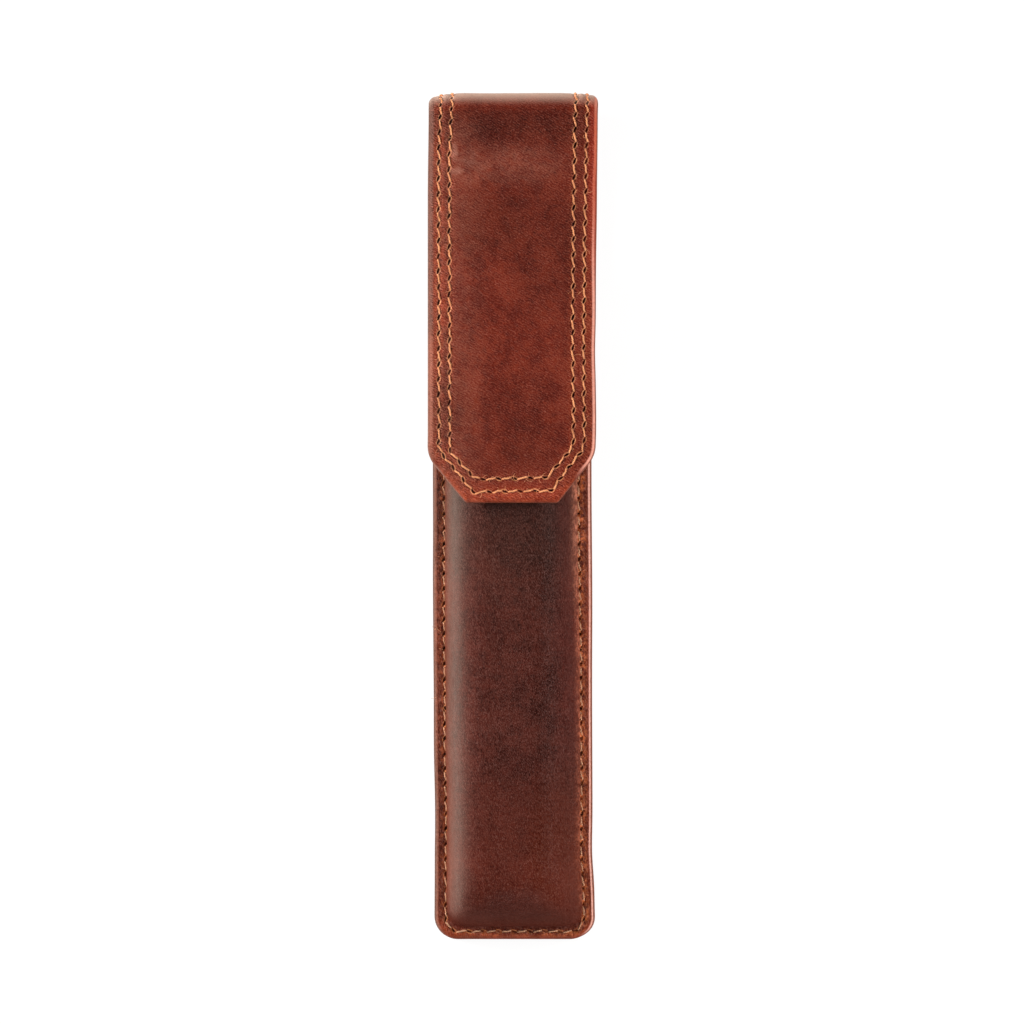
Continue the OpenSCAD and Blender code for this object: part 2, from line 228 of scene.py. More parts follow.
# the rows as the photo shows them: not quite parallel to the edge, and leaning in a little at the head
a_poly = [(-W_BODY + 2.2, Q_FOOT - 2.2), (-W_BODY + 2.2, Q4 + 12), (-W_FLAP + 2.2, Q4), (-13.95, Q1 + 5), (-14.3, 71), (-14.2, 13.0), (-7.5, 4.7),
          (7.7, 5.0), (14.05, 13.2), (14.1, 60), (14.35, Q1 + 5), (W_FLAP - 2.2, Q4), (W_BODY - 2.2, Q4 + 12), (W_BODY - 2.2, Q_FOOT - 2.2)]
row_a = Row(Path(fillet(a_poly, [2.5, 30, 30, 20, 20, 2.2, 0.9, 0.9, 2.2, 20, 20, 30, 30, 2.5], 8), True), 3.02, 11, (-1.5, 4.75))
b_poly = [(-12.1, Q_BAR), (-11.75, Q1 + 5), (-12.25, 71), (-12.1, 12.8), (-7.2, 7.2), (6.7, 7.55), (11.95, 13.5), (11.9, 60), (12.2, Q1 + 5), (12.1, Q_BAR)]
row_b = Row(Path(fillet(b_poly, [0.6, 20, 20, 2.2, 1.0, 1.0, 2.2, 20, 20, 0.6], 8), True), 3.02, 12, (-2.6, 7.25))


def half_width(q, d=0.0):
    """Half the strip's width at q, for its outline moved in by d."""
    pts = strip_edge.p
    right = pts[:, 0] > 0
    x, y = pts[right][:, 0], pts[right][:, 1]
    o = np.argsort(y, kind="stable")
    return np.interp(q, y[o], x[o]) - d


def base_curve(q):
    """y, z of the outer surface at q, and its outward normal."""
    q = np.asarray(q, float)
    y, z, ny, nz = (np.zeros(q.shape) for _ in range(4))
    a = q <= Q1
    y[a], z[a], nz[a] = q[a], TOP, 1
    b = (q > Q1) & (q <= Q2)
    f = (q[b] - Q1) / FOLD_R
    y[b], z[b], ny[b], nz[b] = Y_FOLD + FOLD_R * np.sin(f), TOP - FOLD_R + FOLD_R * np.cos(f), np.sin(f), np.cos(f)
    c = (q > Q2) & (q <= Q3)
    y[c], z[c], ny[c] = HEAD, TOP - FOLD_R - (q[c] - Q2), 1
    d = (q > Q3) & (q <= Q4)
    f = (q[d] - Q3) / FOLD_R
    y[d], z[d], ny[d], nz[d] = Y_FOLD + FOLD_R * np.cos(f), FOLD_R - FOLD_R * np.sin(f), np.cos(f), -np.sin(f)
    e = q > Q4
    y[e], z[e], nz[e] = Y_FOLD - (q[e] - Q4), 0, -1
    return y, z, ny, nz


def hump(v, at, reach):
    return np.exp(-((v - at) / reach) ** 2)


def body_warp(x, y):
    """The body isn't quite straight: it draws in a little on the left, swells at the lower right, and its right seam leans in at the top."""
    left = 0.04 + 0.18 * smooth(-20, -62, y) - 0.05 * np.sin(y / 9.0)
    left = left - 0.085 * hump(y, -12, 8) + 0.11 * hump(y, -36, 9) + 0.21 * hump(y, -57.5, 10) + 0.06 * smooth(-64, -72, y)
    right = 0.3 + 0.42 * smooth(-60, -76, y) * (1 - smooth(-80, -84.5, y)) - 0.07 * smooth(-5, -40, y) + 0.05 * np.sin(y / 11.0 + 1)
    right = right - 0.27 * smooth(-22, 8, y) - 0.2 * hump(y, -66, 4.5) + 0.13 * hump(y, -80, 3)
    t = smooth(-15.5, 15.5, x)
    lean = 0.44 * smooth(-36, -4, y) * smooth(5, 12.8, x) * (1 - smooth(13.5, 15.1, x))
    return x + left * (1 - t) + right * t - lean


def droop(x, q):
    """How far the margins bend inwards."""
    ax = np.abs(x)
    flap = 1.75 * np.clip((ax - 8.2) / 8.2, 0, 1.1) ** 2.0
    head = 1.05 * np.clip((ax - 9.5) / 6.9, 0, 1.1) ** 2.0 * (1 - 0.45 * smooth(8, 15, x))
    w_flap = 1 - smooth(Q1 - 14, Q2 + 1, q)
    w_back = smooth(Q3 - 1, Q4 - 1, q)
    tip = 0.3 * np.clip((11 - q) / 8.5, 0, 1) ** 2
    return (flap * w_flap + head * (1 - w_flap)) * (1 - w_back) + tip * w_flap


def strip_point(x, q, depth):
    """A point of the strip in 3-D, in mm."""
    y, z, ny, nz = base_curve(q)
    t = depth + droop(x, q)
    yy, zz = y - ny * t, z - nz * t
    on_back = smooth(Q4 + 2, Q4 + 30, q)
    xx = x + (body_warp(x, yy) - x) * on_back
    front = 1 - on_back
    right = -0.03 + 0.33 * smooth(62, 79, q) + 0.22 * hump(q, 63, 11) - 0.16 * hump(q, 32, 4.5) + 0.06 * hump(q, 19, 4) - 0.17 * smooth(17, 8, q) + 0.1 * hump(q, 83, 3)
    left = -0.04 + 0.17 * smooth(62, 79, q) - 0.1 * smooth(17, 9, q)
    xx = xx + front * (smooth(-6, -16, x) * left + smooth(7, 16, x) * right)
    return np.stack([xx, yy, zz], -1)


def strip_dents(x, q):
    """Shallow hollows and swells of worn leather on the flap and the head, in mm of depth."""
    d = 0.10 * (fbm(x / 9.0 + 3, q / 13.0, 5) - 0.5) + 0.035 * (fbm(x / 2.6, q / 3.4, 6) - 0.5)
    for cx, cy, sx, sy, h in ((-11.0, 71.6, 0.35, 0.8, 0.14), (-10.5, 70.4, 0.5, 0.35, -0.08), (-10.6, 67.4, 0.8, 0.3, 0.14), (-10.0, 66.6, 0.9, 0.3, -0.08),
                              (13.2, 24.5, 0.35, 0.35, 0.10), (-13.2, 66.2, 0.9, 0.2, 0.04), (4.5, 73.0, 3.5, 1.4, -0.05),
                              (7.5, 70.0, 2.5, 1.2, 0.05), (-6.5, 28.0, 1.4, 1.0, 0.03)):
        d = d + h * np.exp(-((x - cx) / sx) ** 2 - ((q - cy) / sy) ** 2)
    return d


def graded(stops):
    """Numbers from the first stop to the last: [(value, step), ...]."""
    out = [stops[0][0]]
    for (a, step), (b, _) in zip(stops[:-1], stops[1:]):
        n = max(1, int(round((b - a) / step)))
        out += list(a + (b - a) * np.arange(1, n + 1) / n)
    return np.array(out)


EDGE_STEPS = EDGE_R * (1 - np.cos(np.linspace(0, math.pi / 2, 9)))


def round_edge(e, r=EDGE_R):
    k = np.clip(r - e, 0, r)
    return r - np.sqrt(np.maximum(r * r - k * k, 0))


# ---------------------------------------------------------------- meshes
def make_mesh(name, verts, faces, attrs=None, smooth_shade=True):
    """Object from vertices in mm, a list of face arrays and point attributes."""
    me = bpy.data.meshes.new(name)
    verts = np.asarray(verts, float) * MM
    me.vertices.add(len(verts))
    me.vertices.foreach_set("co", verts.astype(np.float32).ravel())
    faces = [np.asarray(f, np.int32) for f in faces if len(f)]
    starts, totals, loops, at = [], [], [], 0
    for f in faces:
        k = f.shape[1]
        starts.append(at + k * np.arange(len(f)))
        totals.append(np.full(len(f), k))
        loops.append(f.ravel())
        at += k * len(f)
    me.loops.add(at)
    me.loops.foreach_set("vertex_index", np.concatenate(loops).astype(np.int32))
    starts, totals = np.concatenate(starts).astype(np.int32), np.concatenate(totals).astype(np.int32)
    me.polygons.add(len(starts))
    me.polygons.foreach_set("loop_start", starts)
    me.polygons.foreach_set("loop_total", totals)
    me.polygons.foreach_set("use_smooth", np.full(len(starts), smooth_shade))
    me.update(calc_edges=True)
    me.validate()
    for key, val in (attrs or {}).items():
        val = np.asarray(val, np.float32)
        if val.ndim == 1:
            me.attributes.new(key, "FLOAT", "POINT").data.foreach_set("value", val)
        else:
            me.attributes.new(key, "FLOAT_VECTOR", "POINT").data.foreach_set("vector", val.ravel())
    ob = bpy.data.objects.new(name, me)
    bpy.context.scene.collection.objects.link(ob)
    return ob


def grid_faces(nr, nc, start=0, flip=False):
    i, j = np.meshgrid(np.arange(nr - 1), np.arange(nc - 1), indexing="ij")
    a = start + i * nc + j
    f = np.stack([a, a + 1, a + nc + 1, a + nc], -1).reshape(-1, 4)
    return f[:, ::-1] if flip else f


def zip_lines(ia, pa, ib, pb, flip=False):
    """Triangles between two polylines, matched by their parameters from 0 to 1."""
    i = j = 0
    out = []
    while i < len(ia) - 1 or j < len(ib) - 1:
        if j == len(ib) - 1 or (i < len(ia) - 1 and pa[i + 1] <= pb[j + 1]):
            out.append((ia[i], ia[i + 1], ib[j]))
            i += 1
        else:
            out.append((ia[i], ib[j + 1], ib[j]))
            j += 1
    f = np.array(out)
    return f[:, ::-1] if flip else f


def param(p):
    l = np.r_[0, np.cumsum(np.linalg.norm(np.diff(p, axis=0), axis=1))]
    return l / l[-1]


def strip_sheet(name, qs, from_edge, top_depth, under_edge, under_depth, out_inset=0.0, cap_at=None, attrs=True):
    """Closed shell over rows qs: a fine outer face and a coarser inner one, joined round the rim.
    from_edge and under_edge are distances from the edge at full width; depth functions take x, q and the distance to the edge."""
    full = W_FLAP - out_inset

    def lay(qq, dist):
        u = np.r_[-(1 - dist / full), (1 - dist / full)[::-1]]
        u = np.unique(np.round(u, 9))
        w = half_width(qq, out_inset)
        x = u[None, :] * w[:, None]
        q = np.repeat(qq[:, None], len(u), 1)
        return x, q

    x, q = lay(qs, from_edge)
    e = np.maximum(np.abs(strip_edge.project(x.ravel(), q.ravel())[1]).reshape(x.shape) - out_inset, 0)
    p = strip_point(x, q, top_depth(x, q, e))
    nr, nc = x.shape
    top = p.reshape(-1, 3)
    # the inner face starts a hair inside the rim
    qu = qs.copy()
    ends = [qs[0] <= TIP + out_inset + 1e-6, qs[-1] >= Q_FOOT - out_inset - 1e-6]
    if ends[0]:
        qu[0] = qs[0] + 0.004
    if ends[1]:
        qu[-1] = qs[-1] - 0.004
    xu, q2 = lay(qu, under_edge)
    eu = np.maximum(np.abs(strip_edge.project(xu.ravel(), q2.ravel())[1]).reshape(xu.shape) - out_inset, 0)
    pu = strip_point(xu, q2, under_depth(xu, q2, eu))
    mr, mc = xu.shape
    low = pu.reshape(-1, 3)
    n = len(top)
    verts = np.vstack([top, low])
    faces = [grid_faces(nr, nc), grid_faces(mr, mc, n, True)]
    it = np.arange(n).reshape(nr, nc)
    iu = n + np.arange(len(low)).reshape(mr, mc)
    # sides share the rows
    for col_t, col_u, fl in ((0, 0, False), (nc - 1, mc - 1, True)):
        a, b = it[:, col_t], iu[:, col_u]
        f = np.stack([a[:-1], a[1:], b[1:], b[:-1]], -1)
        faces.append(f[:, ::-1] if fl else f)
    # ends: a rim keeps its vertices, a cut face gets its own, so that it shades flat
    for row_t, row_u, fl, rim in ((0, 0, True, ends[0]), (nr - 1, mr - 1, False, ends[1])):
        a, b = it[row_t], iu[row_u]
        if not rim:
            extra = np.vstack([verts[a], verts[b]])
            k = len(verts)
            verts = np.vstack([verts, extra])
            a2, b2 = k + np.arange(len(a)), k + len(a) + np.arange(len(b))
            faces.append(zip_lines(a2, param(verts[a2]), b2, param(verts[b2]), fl))
        else:
            faces.append(zip_lines(a, param(verts[a]), b, param(verts[b]), fl))
    data = {}
    if attrs:
        xs = np.r_[x.ravel(), xu.ravel()]
        qq = np.r_[q.ravel(), q2.ravel()]
        ee = np.r_[e.ravel(), eu.ravel()]
        side = np.r_[np.ones(len(top)), np.zeros(len(low))]
        deep = np.r_[1 + round_edge(e.ravel()) / 3, 1 + under_depth(xu, q2, eu).ravel() / 3]
        pad = len(verts) - len(xs)

        def put(v):
            return np.r_[v, np.zeros(pad)]

        ka, da = row_a.coords(xs, qq)
        kb, db = row_b.coords(xs, qq)
        far = -50.0
        data["flat"] = np.stack([put(xs), put(qq), put(deep)], -1)
        data["rowa"] = np.stack([put(ka), np.where(put(side) > 0.5, put(da), far), put(side)], -1)
        data["rowb"] = np.stack([put(kb), np.where(put(side) > 0.5, put(db), far), put(side)], -1)
        data["edge"] = put(ee)
    return make_mesh(name, verts, faces, data)


def leather_top(x, q, e):
    ka, da = row_a.coords(x.ravel(), q.ravel())
    kb, db = row_b.coords(x.ravel(), q.ravel())
    near = smooth(0.3, 1.3, e)
    dep = (row_a.relief(ka, da) + row_b.relief(kb, db)).reshape(x.shape) * near
    ridge = -0.09 * np.exp(-((np.abs(da) - 1.05) / 0.45) ** 2).reshape(x.shape) * near * (e > 2.2)
    back = smooth(Q3, Q4 + 6, q)
    dep = dep + 0.3 * back * (np.exp(-(da / 0.45) ** 2) + np.exp(-(db / 0.45) ** 2)).reshape(x.shape)
    wob = strip_dents(x, q) * (1 - 0.8 * back) * smooth(0.0, 2.0, e)
    rim_wob = 0.05 * (fbm(q / 5.0, x * 0 + np.sign(x) * 7, 9) - 0.5) * (1 - smooth(0.5, 3, e))
    dep = dep + ridge * (1 - back) + wob + rim_wob * (1 - back)
    dep = np.where(back > 0.98, np.maximum(dep, 0.0), dep)
    return round_edge(e) + dep


def leather_under(x, q, e):
    d = 1.14 + (1.9 - 1.14) * np.sqrt(np.clip(1 - (1 - np.clip(e / 0.8, 0, 1)) ** 2, 0, 1))
    return d - 0.6 * smooth(3.6, 4.4, e)


qs_flap = np.r_[TIP + EDGE_STEPS, graded([(TIP + EDGE_R, 0.15), (15.2, 0.25), (Q1, 0.24), (Q_MID, 0.24)])[1:]]
qs_rear = np.r_[graded([(Q_MID, 0.24), (Q4, 0.25), (Q_BAR - 1.2, 0.12), (Q_BAR + 1.2, 0.32), (Q_FOOT - 3.4, 0.13), (Q_FOOT - EDGE_R, 0.13)]), Q_FOOT - EDGE_STEPS[::-1][1:]]
cols = np.r_[EDGE_STEPS, graded([(EDGE_R, 0.14), (1.55, 0.1), (2.85, 0.2), (3.75, 0.1), (5.05, 0.3), (8.0, 0.42), (W_FLAP, 0.42)])[1:]]
cols_rear = np.r_[EDGE_STEPS, graded([(EDGE_R, 0.14), (1.5, 0.1), (2.9, 0.2), (3.75, 0.13), (5.05, 0.4), (8.0, 0.6), (W_FLAP, 0.6)])[1:]]
under = np.array([0.004, 0.1, 0.3, 0.6, 0.9, 1.6, 3.5, 3.8, 4.1, 4.5, 8, 12, W_FLAP])

flap_leather = strip_sheet("flap_leather", qs_flap, cols, leather_top, under, leather_under)
back_leather = strip_sheet("back_leather", qs_rear, cols_rear, leather_top, under, leather_under)


# ---------------------------------------------------------------- lining of the strip
def lining_face(x, q, e):
    ka, da = row_a.coords(x.ravel(), q.ravel())
    kb, db = row_b.coords(x.ravel(), q.ravel())
    press = 0.16 * (np.exp(-(da / 0.5) ** 2) + np.exp(-(db / 0.5) ** 2)).reshape(x.shape)
    press = press * (1 - smooth(Q4 + (Y_FOLD - MOUTH) - 1, Q4 + (Y_FOLD - MOUTH) + 1, q))
    wob = 0.05 * (fbm(x / 3.0, q / 4.0, 21) - 0.5)
    return 2.27 - round_edge(e, 0.35) - press * smooth(0, 0.6, e) + wob * smooth(0, 1, e)


def lining_glued(x, q, e):
    return np.full(x.shape, 1.88) - 0.1 * smooth(2.6, 3.2, e)


LIN_IN = 1.25
lin_edge = 0.35 * (1 - np.cos(np.linspace(0, math.pi / 2, 5)))
lin_cols = np.r_[lin_edge, graded([(0.35, 0.15), (2.0, 0.3), (2.6, 0.15), (3.8, 0.5), (W_FLAP - LIN_IN, 0.6)])[1:]]
lin_flap_q = np.r_[TIP + LIN_IN + lin_edge, graded([(TIP + LIN_IN + 0.35, 0.25), (12, 0.5), (Q1 - 1, 0.35), (Q_MID, 0.35)])[1:]]
lin_rear_q = np.r_[graded([(Q_MID, 0.35), (Q4 + 1, 0.5), (Q_FOOT - LIN_IN - 0.35, 0.5)]), Q_FOOT - LIN_IN - lin_edge[::-1][1:]]
lin_under = np.array([0.004, 0.3, 2.5, 3.5, 8, W_FLAP - LIN_IN])
flap_lining = strip_sheet("flap_inner_lining", lin_flap_q, lin_cols, lining_face, lin_under, lining_glued, LIN_IN)
back_lining = strip_sheet("back_inner_lining", lin_rear_q, lin_cols, lining_face, lin_under, lining_glued, LIN_IN)

# ---------------------------------------------------------------- the moulded pocket
PB = 2.0                          # exponent of its section
PA, PC = 12.3, 2.5               # half widths at its base and of its flat top
Z_FLANGE, Z_TOP = 4.4, 17.34
PH = Z_TOP - Z_FLANGE
PLEN = 9.5                        # length of the foot end's slope
Y_B = FOOT + 2.3 + PLEN * (PA - PC + 0.98) / (PA - PC)
W_FR, Y_FR = 15.25, FOOT - 0.1
Y_NOTCH = MOUTH + NOTCH_R - NOTCH_D
body_poly = [(-W_FR, 120.0), (-W_FR, Y_FR), (W_FR, Y_FR), (W_FR, 120.0)]
body_edge = Path(fillet(body_poly, [0, 4.4, 4.4, 0], 12, closed=False), False)
seam_poly = [(-W_FR + 1.9, MOUTH - 1.0), (-W_FR + 1.9, Y_FR + 1.5), (W_FR - 1.9, Y_FR + 1.5), (W_FR - 1.9, MOUTH - 1.0)]
row_s = Row(Path(fillet(seam_poly, [0, 2.7, 2.7, 0], 8, closed=False), False), 2.93, 31, length=0.52, width=0.115)


def mouth_y(x):
    return np.where(np.abs(x) < 11.3, Y_NOTCH - np.sqrt(np.maximum(NOTCH_R ** 2 - x * x, 0)), MOUTH)


mouth_x = np.linspace(-9.4, 9.4, 60)
mouth_pts = np.stack([mouth_x, Y_NOTCH - np.sqrt((NOTCH_R + 2.4) ** 2 - mouth_x ** 2)], -1)
row_m = Row(Path(mouth_pts, False), 2.6, 41)


def crown(dist):
    """Height over the flange at a distance out from the edge of the flat top, with the turn there eased."""
    run = PA - PC
    t = np.where(dist < PC, (dist + PC) ** 2 / (4 * PC * run), dist / run)
    return PH * np.sqrt(np.maximum(1 - t ** 2, 0))


def section(n_wall):
    """Outward distance and height along the pocket's wall, from the flat top (0, PH) to the flange."""
    f = np.linspace(0, 1, n_wall)
    run = PA - PC
    a = f * math.radians(65)
    s = np.sin(a) ** (2 / PB)
    wall = np.stack([run * s, crown(run * s)], -1)
    p1 = wall[-1]
    slope = wall[-1] - wall[-2]
    slope /= np.linalg.norm(slope)
    ctrl = p1 + slope * (p1[1] - 0.0) / max(-slope[1], 1e-6) * 0.86
    end = np.array([run + 0.98, 0.0])
    t = np.linspace(0, 1, 13)[1:, None]
    bez = (1 - t) ** 2 * p1 + 2 * t * (1 - t) * ctrl + t ** 2 * end
    return np.vstack([wall, bez])


def pocket_lines(ys_side, n_corner, xs_foot):
    """Spine points and full outward vectors, down the left side, round the foot and up the right side."""
    c, v, kind = [], [], []
    run = PA - PC
    for y in ys_side:
        c.append((-PC, y)); v.append((-1.0, 0.0)); kind.append(0)
    for k in range(1, n_corner):
        th = (math.pi / 2) * k / n_corner
        dx, dy = math.cos(th) ** (2 / PB), math.sin(th) ** (2 / PB)
        c.append((-PC, Y_B)); v.append((-dx, -dy)); kind.append(1)
    for x in xs_foot:
        c.append((x, Y_B)); v.append((0.0, -1.0)); kind.append(2)
    for k in range(n_corner - 1, 0, -1):
        th = (math.pi / 2) * k / n_corner
        dx, dy = math.cos(th) ** (2 / PB), math.sin(th) ** (2 / PB)
        c.append((PC, Y_B)); v.append((dx, -dy)); kind.append(3)
    for y in ys_side[::-1]:
        c.append((PC, y)); v.append((1.0, 0.0)); kind.append(4)
    return np.array(c), np.array(v), np.array(kind)


def ray_to_outline(c, d, w, yf, r):
    """Where a ray from c along d leaves the rounded outline."""
    lo, hi = np.zeros(len(c)), np.full(len(c), 60.0)
    for _ in range(40):
        m = (lo + hi) / 2
        p = c + d * m[:, None]
        ax = np.abs(p[:, 0])
        inside = (ax <= w) & (p[:, 1] >= yf)
        corner = (ax > w - r) & (p[:, 1] < yf + r)
        inside &= ~corner | (np.hypot(ax - (w - r), p[:, 1] - (yf + r)) <= r)
        lo, hi = np.where(inside, m, lo), np.where(inside, hi, m)
    return c + d * lo[:, None]


def pocket_surface(side_t, n_corner, xs_foot, sec, flange_t, plateau_x):
    """Grid of the pocket's outer face: levels from the edge of the flat top over the wall and the flange out to the
    rim.
    """
    m_left = None
    ys = side_t                                  # 0 at the foot end of the straight side, 1 at the mouth
    c, v, kind = pocket_lines(ys[::-1], n_corner, xs_foot)
    run = PA - PC
    rows = []
    n = len(c)
    side = (kind == 0) | (kind == 4)
    t_side = np.where(side, c[:, 1], 0.0)
    # the wall: out from the spine, along the section
    scale = np.stack([np.full(n, 1.0), np.full(n, PLEN / run)], -1)
    theta = np.arctan2(np.abs(v[:, 1]) ** (PB / 2), np.abs(v[:, 0]) ** (PB / 2))
    for dist, h in sec:
        m = PB + 4.6 * min(1.0, dist / run) ** 2.5
        vm = np.stack([np.sign(v[:, 0]) * np.abs(np.cos(theta)) ** (2 / m), -np.abs(np.sin(theta)) ** (2 / m)], -1)
        vm = np.where(((kind == 1) | (kind == 3))[:, None], vm, v)
        p = np.where(side[:, None], np.stack([c[:, 0] + v[:, 0] * dist, np.zeros(n)], -1), c + vm * dist * scale)
        # past the wall's own reach the vector only needs its direction
        y = np.where(side, Y_B + t_side * (mouth_y(p[:, 0]) - Y_B), p[:, 1])
        rows.append(np.stack([p[:, 0], y, np.full(n, Z_FLANGE + h)], -1))
    base = rows[-1]
    cc = np.stack([c[:, 0], np.where(side, base[:, 1], c[:, 1])], -1)
    dirs = base[:, :2] - cc
    dirs = np.where(side[:, None], v, dirs / np.maximum(np.linalg.norm(dirs, axis=1, keepdims=True), 1e-9))
    rim = ray_to_outline(base[:, :2] - dirs * 0.0, dirs, W_FR, Y_FR, 4.4)
    length = np.linalg.norm(rim - base[:, :2], axis=1)
    for f in flange_t:
        # flange_t counts from the wall's foot (0) to the rim (1)
        p = base[:, :2] + (rim - base[:, :2]) * f
        y = np.where(side, Y_B + t_side * (mouth_y(p[:, 0]) - Y_B), p[:, 1])
        rows.append(np.stack([p[:, 0], y, np.full(n, Z_FLANGE)], -1))
    grid = np.array(rows)                        # level, around
    return grid, kind


side_t = np.r_[graded([(0, 0.3 / 120), (0.93, 0.16 / 120), (1 - 0.9 / 120, 0.16 / 120)]),
               1 - (EDGE_R * 0.8) * (1 - np.cos(np.linspace(math.pi / 2, 0, 8)[1:])) / 120]
side_t = np.unique(np.clip(side_t, 0, 1))
n_corner = 44
xs_foot = np.linspace(-PC, PC, 27)
sec = section(34)
flange_t = np.r_[graded([(0.0, 0.1), (0.05, 0.045), (0.6, 0.05), (0.66, 0.05)])[1:], 1 - (EDGE_R * 0.95 / 2.08) * (1 - np.sin(np.linspace(0, math.pi / 2, 8)[0:]))]
flange_t = np.unique(np.round(np.clip(flange_t, 0.02, 1), 6))
grid, kind = pocket_surface(side_t, n_corner, xs_foot, sec, flange_t, None)
n_lev, n_around = grid.shape[:2]

# the flat top between the two sides
ys_plateau = grid[0][kind == 0][:, 1]            # from the mouth down to the foot end
px = np.linspace(-PC, PC, 27)
n_side = len(side_t)
pl_t = side_t[::-1]
pl = np.zeros((n_side, len(px), 3))
pl[..., 0] = px[None, :]
pl[..., 1] = Y_B + pl_t[:, None] * (mouth_y(px)[None, :] - Y_B)
near_foot = np.clip(PC - (pl[..., 1] - Y_B) * (PA - PC) / PLEN, 0, PC)
pl[..., 2] = Z_FLANGE + crown((np.abs(pl[..., 0]) ** 6 + near_foot ** 6) ** (1 / 6) - PC)
sec_len = np.r_[0, np.cumsum(np.linalg.norm(np.diff(sec, axis=0), axis=1))]


def pocket_detail(p, wall_h):
    """Depth of seams, mouth edge and wear on the pocket, in mm along the inward normal."""
    x, y = p[..., 0], p[..., 1]
    f = lambda a: a.reshape(x.shape)
    e = np.abs(f(body_edge.project(x.ravel(), y.ravel())[1]))
    ks, ds = row_s.coords(x.ravel(), y.ravel())
    if x.shape == grid.shape[:2]:
        # up the wall the distance to the seam is measured along the leather
        n = len(sec_len)
        ks, ds = f(ks).copy(), f(ds).copy()
        ds[:n] = ds[n - 1] + (sec_len[-1] - sec_len)[:, None]
        ks[:n] = ks[n - 1]
        ks, ds = ks.ravel(), ds.ravel()
    km, dm = row_m.coords(x.ravel(), y.ravel())
    low = 1 - smooth(0.2, 2.2, wall_h)
    dep = f(row_s.relief(ks, ds, slit=0.36, groove=0.12, pucker=0.14, rim=0.09)) * low * smooth(0.3, 1.2, e)
    dep = dep + f(row_m.relief(km, dm)) * (1 - low) * (np.abs(x) < 10.9)
    m = np.maximum(mouth_y(x) - y, 0)
    dep = dep + round_edge(m, EDGE_R * 0.8) * 1.0
    dep = dep + 0.16 * (fbm(x / 7.0 + 9, y / 12.0, 15) - 0.5) * (1 - low) + 0.05 * (fbm(x / 2.2, y / 3.1, 16) - 0.5) * (1 - low)
    dep = dep + 0.08 * (fbm(x / 3.0 + 2, y / 4.0, 17) - 0.5) * low * smooth(0, 1.5, e)
    return dep, e, ks, ds, km, dm


def normals_of(g):
    a = np.gradient(g, axis=0)
    b = np.gradient(g, axis=1)
    n = np.cross(a, b)
    return n / np.maximum(np.linalg.norm(n, axis=-1, keepdims=True), 1e-12)


def pocket_offset(grid, pl, t, detail=True):
    """The pocket's face moved in by t along its normals, with the seams pressed in."""
    ng = normals_of(grid)
    ng = np.where(ng[..., 2:3] < 0, -ng, ng)
    ng = np.where(np.abs(ng[..., 2:3]) < 1e-6, ng * 0 + np.array([0, 0, 1.0]), ng)
    # round the corner at the flat top the normals are nearly vertical anyway
    ng[0] = (0, 0, 1)
    wh = grid[..., 2] - Z_FLANGE
    out, data = grid.copy(), None
    dg, eg, ks, ds, km, dm = pocket_detail(grid, wh)
    dp, ep, ks2, ds2, km2, dm2 = pocket_detail(pl, pl[..., 2] - Z_FLANGE)
    if detail:
        out = out - ng * (dg * 1.0)[..., None]
        lv = round_edge(eg, EDGE_R * 0.95)
        out[..., 2] -= lv * (wh < 0.02)
        pl2 = pl.copy()
        pl2[..., 2] -= dp
    else:
        out = out - ng * t
        pl2 = pl.copy()
        pl2[..., 2] -= t
    return out, pl2, (eg, ks, ds, km, dm, ep, ks2, ds2, km2, dm2)


top_g, top_p, info = pocket_offset(grid, pl, 0.0, True)
eg, ks, ds, km, dm, ep, ks2, ds2, km2, dm2 = info


def warp_xyz(p):
    q = p.copy()
    q[..., 0] = body_warp(p[..., 0], p[..., 1])
    return q


# both faces are built the same way, the inner one from thinned lists
def pocket_face(grid_pts, plateau_pts, kinds, flip):
    nl, na = grid_pts.shape[:2]
    ns, npx = plateau_pts.shape[:2]
    ig = np.arange(nl * na).reshape(nl, na)
    left, right = np.where(kinds == 0)[0], np.where(kinds == 4)[0][::-1]
    foot = np.where(kinds == 2)[0]
    ip = np.full((ns, npx), -1)
    ip[:, 0], ip[:, -1] = ig[0, left], ig[0, right]
    ip[-1, 1:-1] = ig[0, foot[1:-1]]
    ip[-1, 0], ip[-1, -1] = ig[0, left[-1]], ig[0, right[-1]]
    inner = ip < 0
    ip[inner] = nl * na + np.arange(inner.sum())
    verts = np.vstack([grid_pts.reshape(-1, 3), plateau_pts[inner]])
    remap = np.arange(len(verts))
    remap[ig[0, kinds == 1]] = ig[0, left[-1]]
    remap[ig[0, kinds == 3]] = ig[0, right[-1]]
    remap[ig[0, foot[0]]] = ig[0, left[-1]]
    remap[ig[0, foot[-1]]] = ig[0, right[-1]]
    f1 = remap[grid_faces(nl, na)]
    same = f1[:, 0] == f1[:, 1]
    tri = f1[same][:, [0, 2, 3]]
    f1 = f1[~same]
    f2 = remap[np.stack([ip[:-1, :-1], ip[:-1, 1:], ip[1:, 1:], ip[1:, :-1]], -1).reshape(-1, 4)]
    rim = ig[-1]
    mouth = np.r_[ig[::-1, 0], ip[0, 1:-1], ig[:, -1]]
    fs = [f1, f2, tri]
    if flip:
        fs = [f[:, ::-1] for f in fs]
    return verts, fs, inner, rim, mouth


def thin(n, step):
    return np.unique(np.r_[np.arange(0, n, step), n - 1])


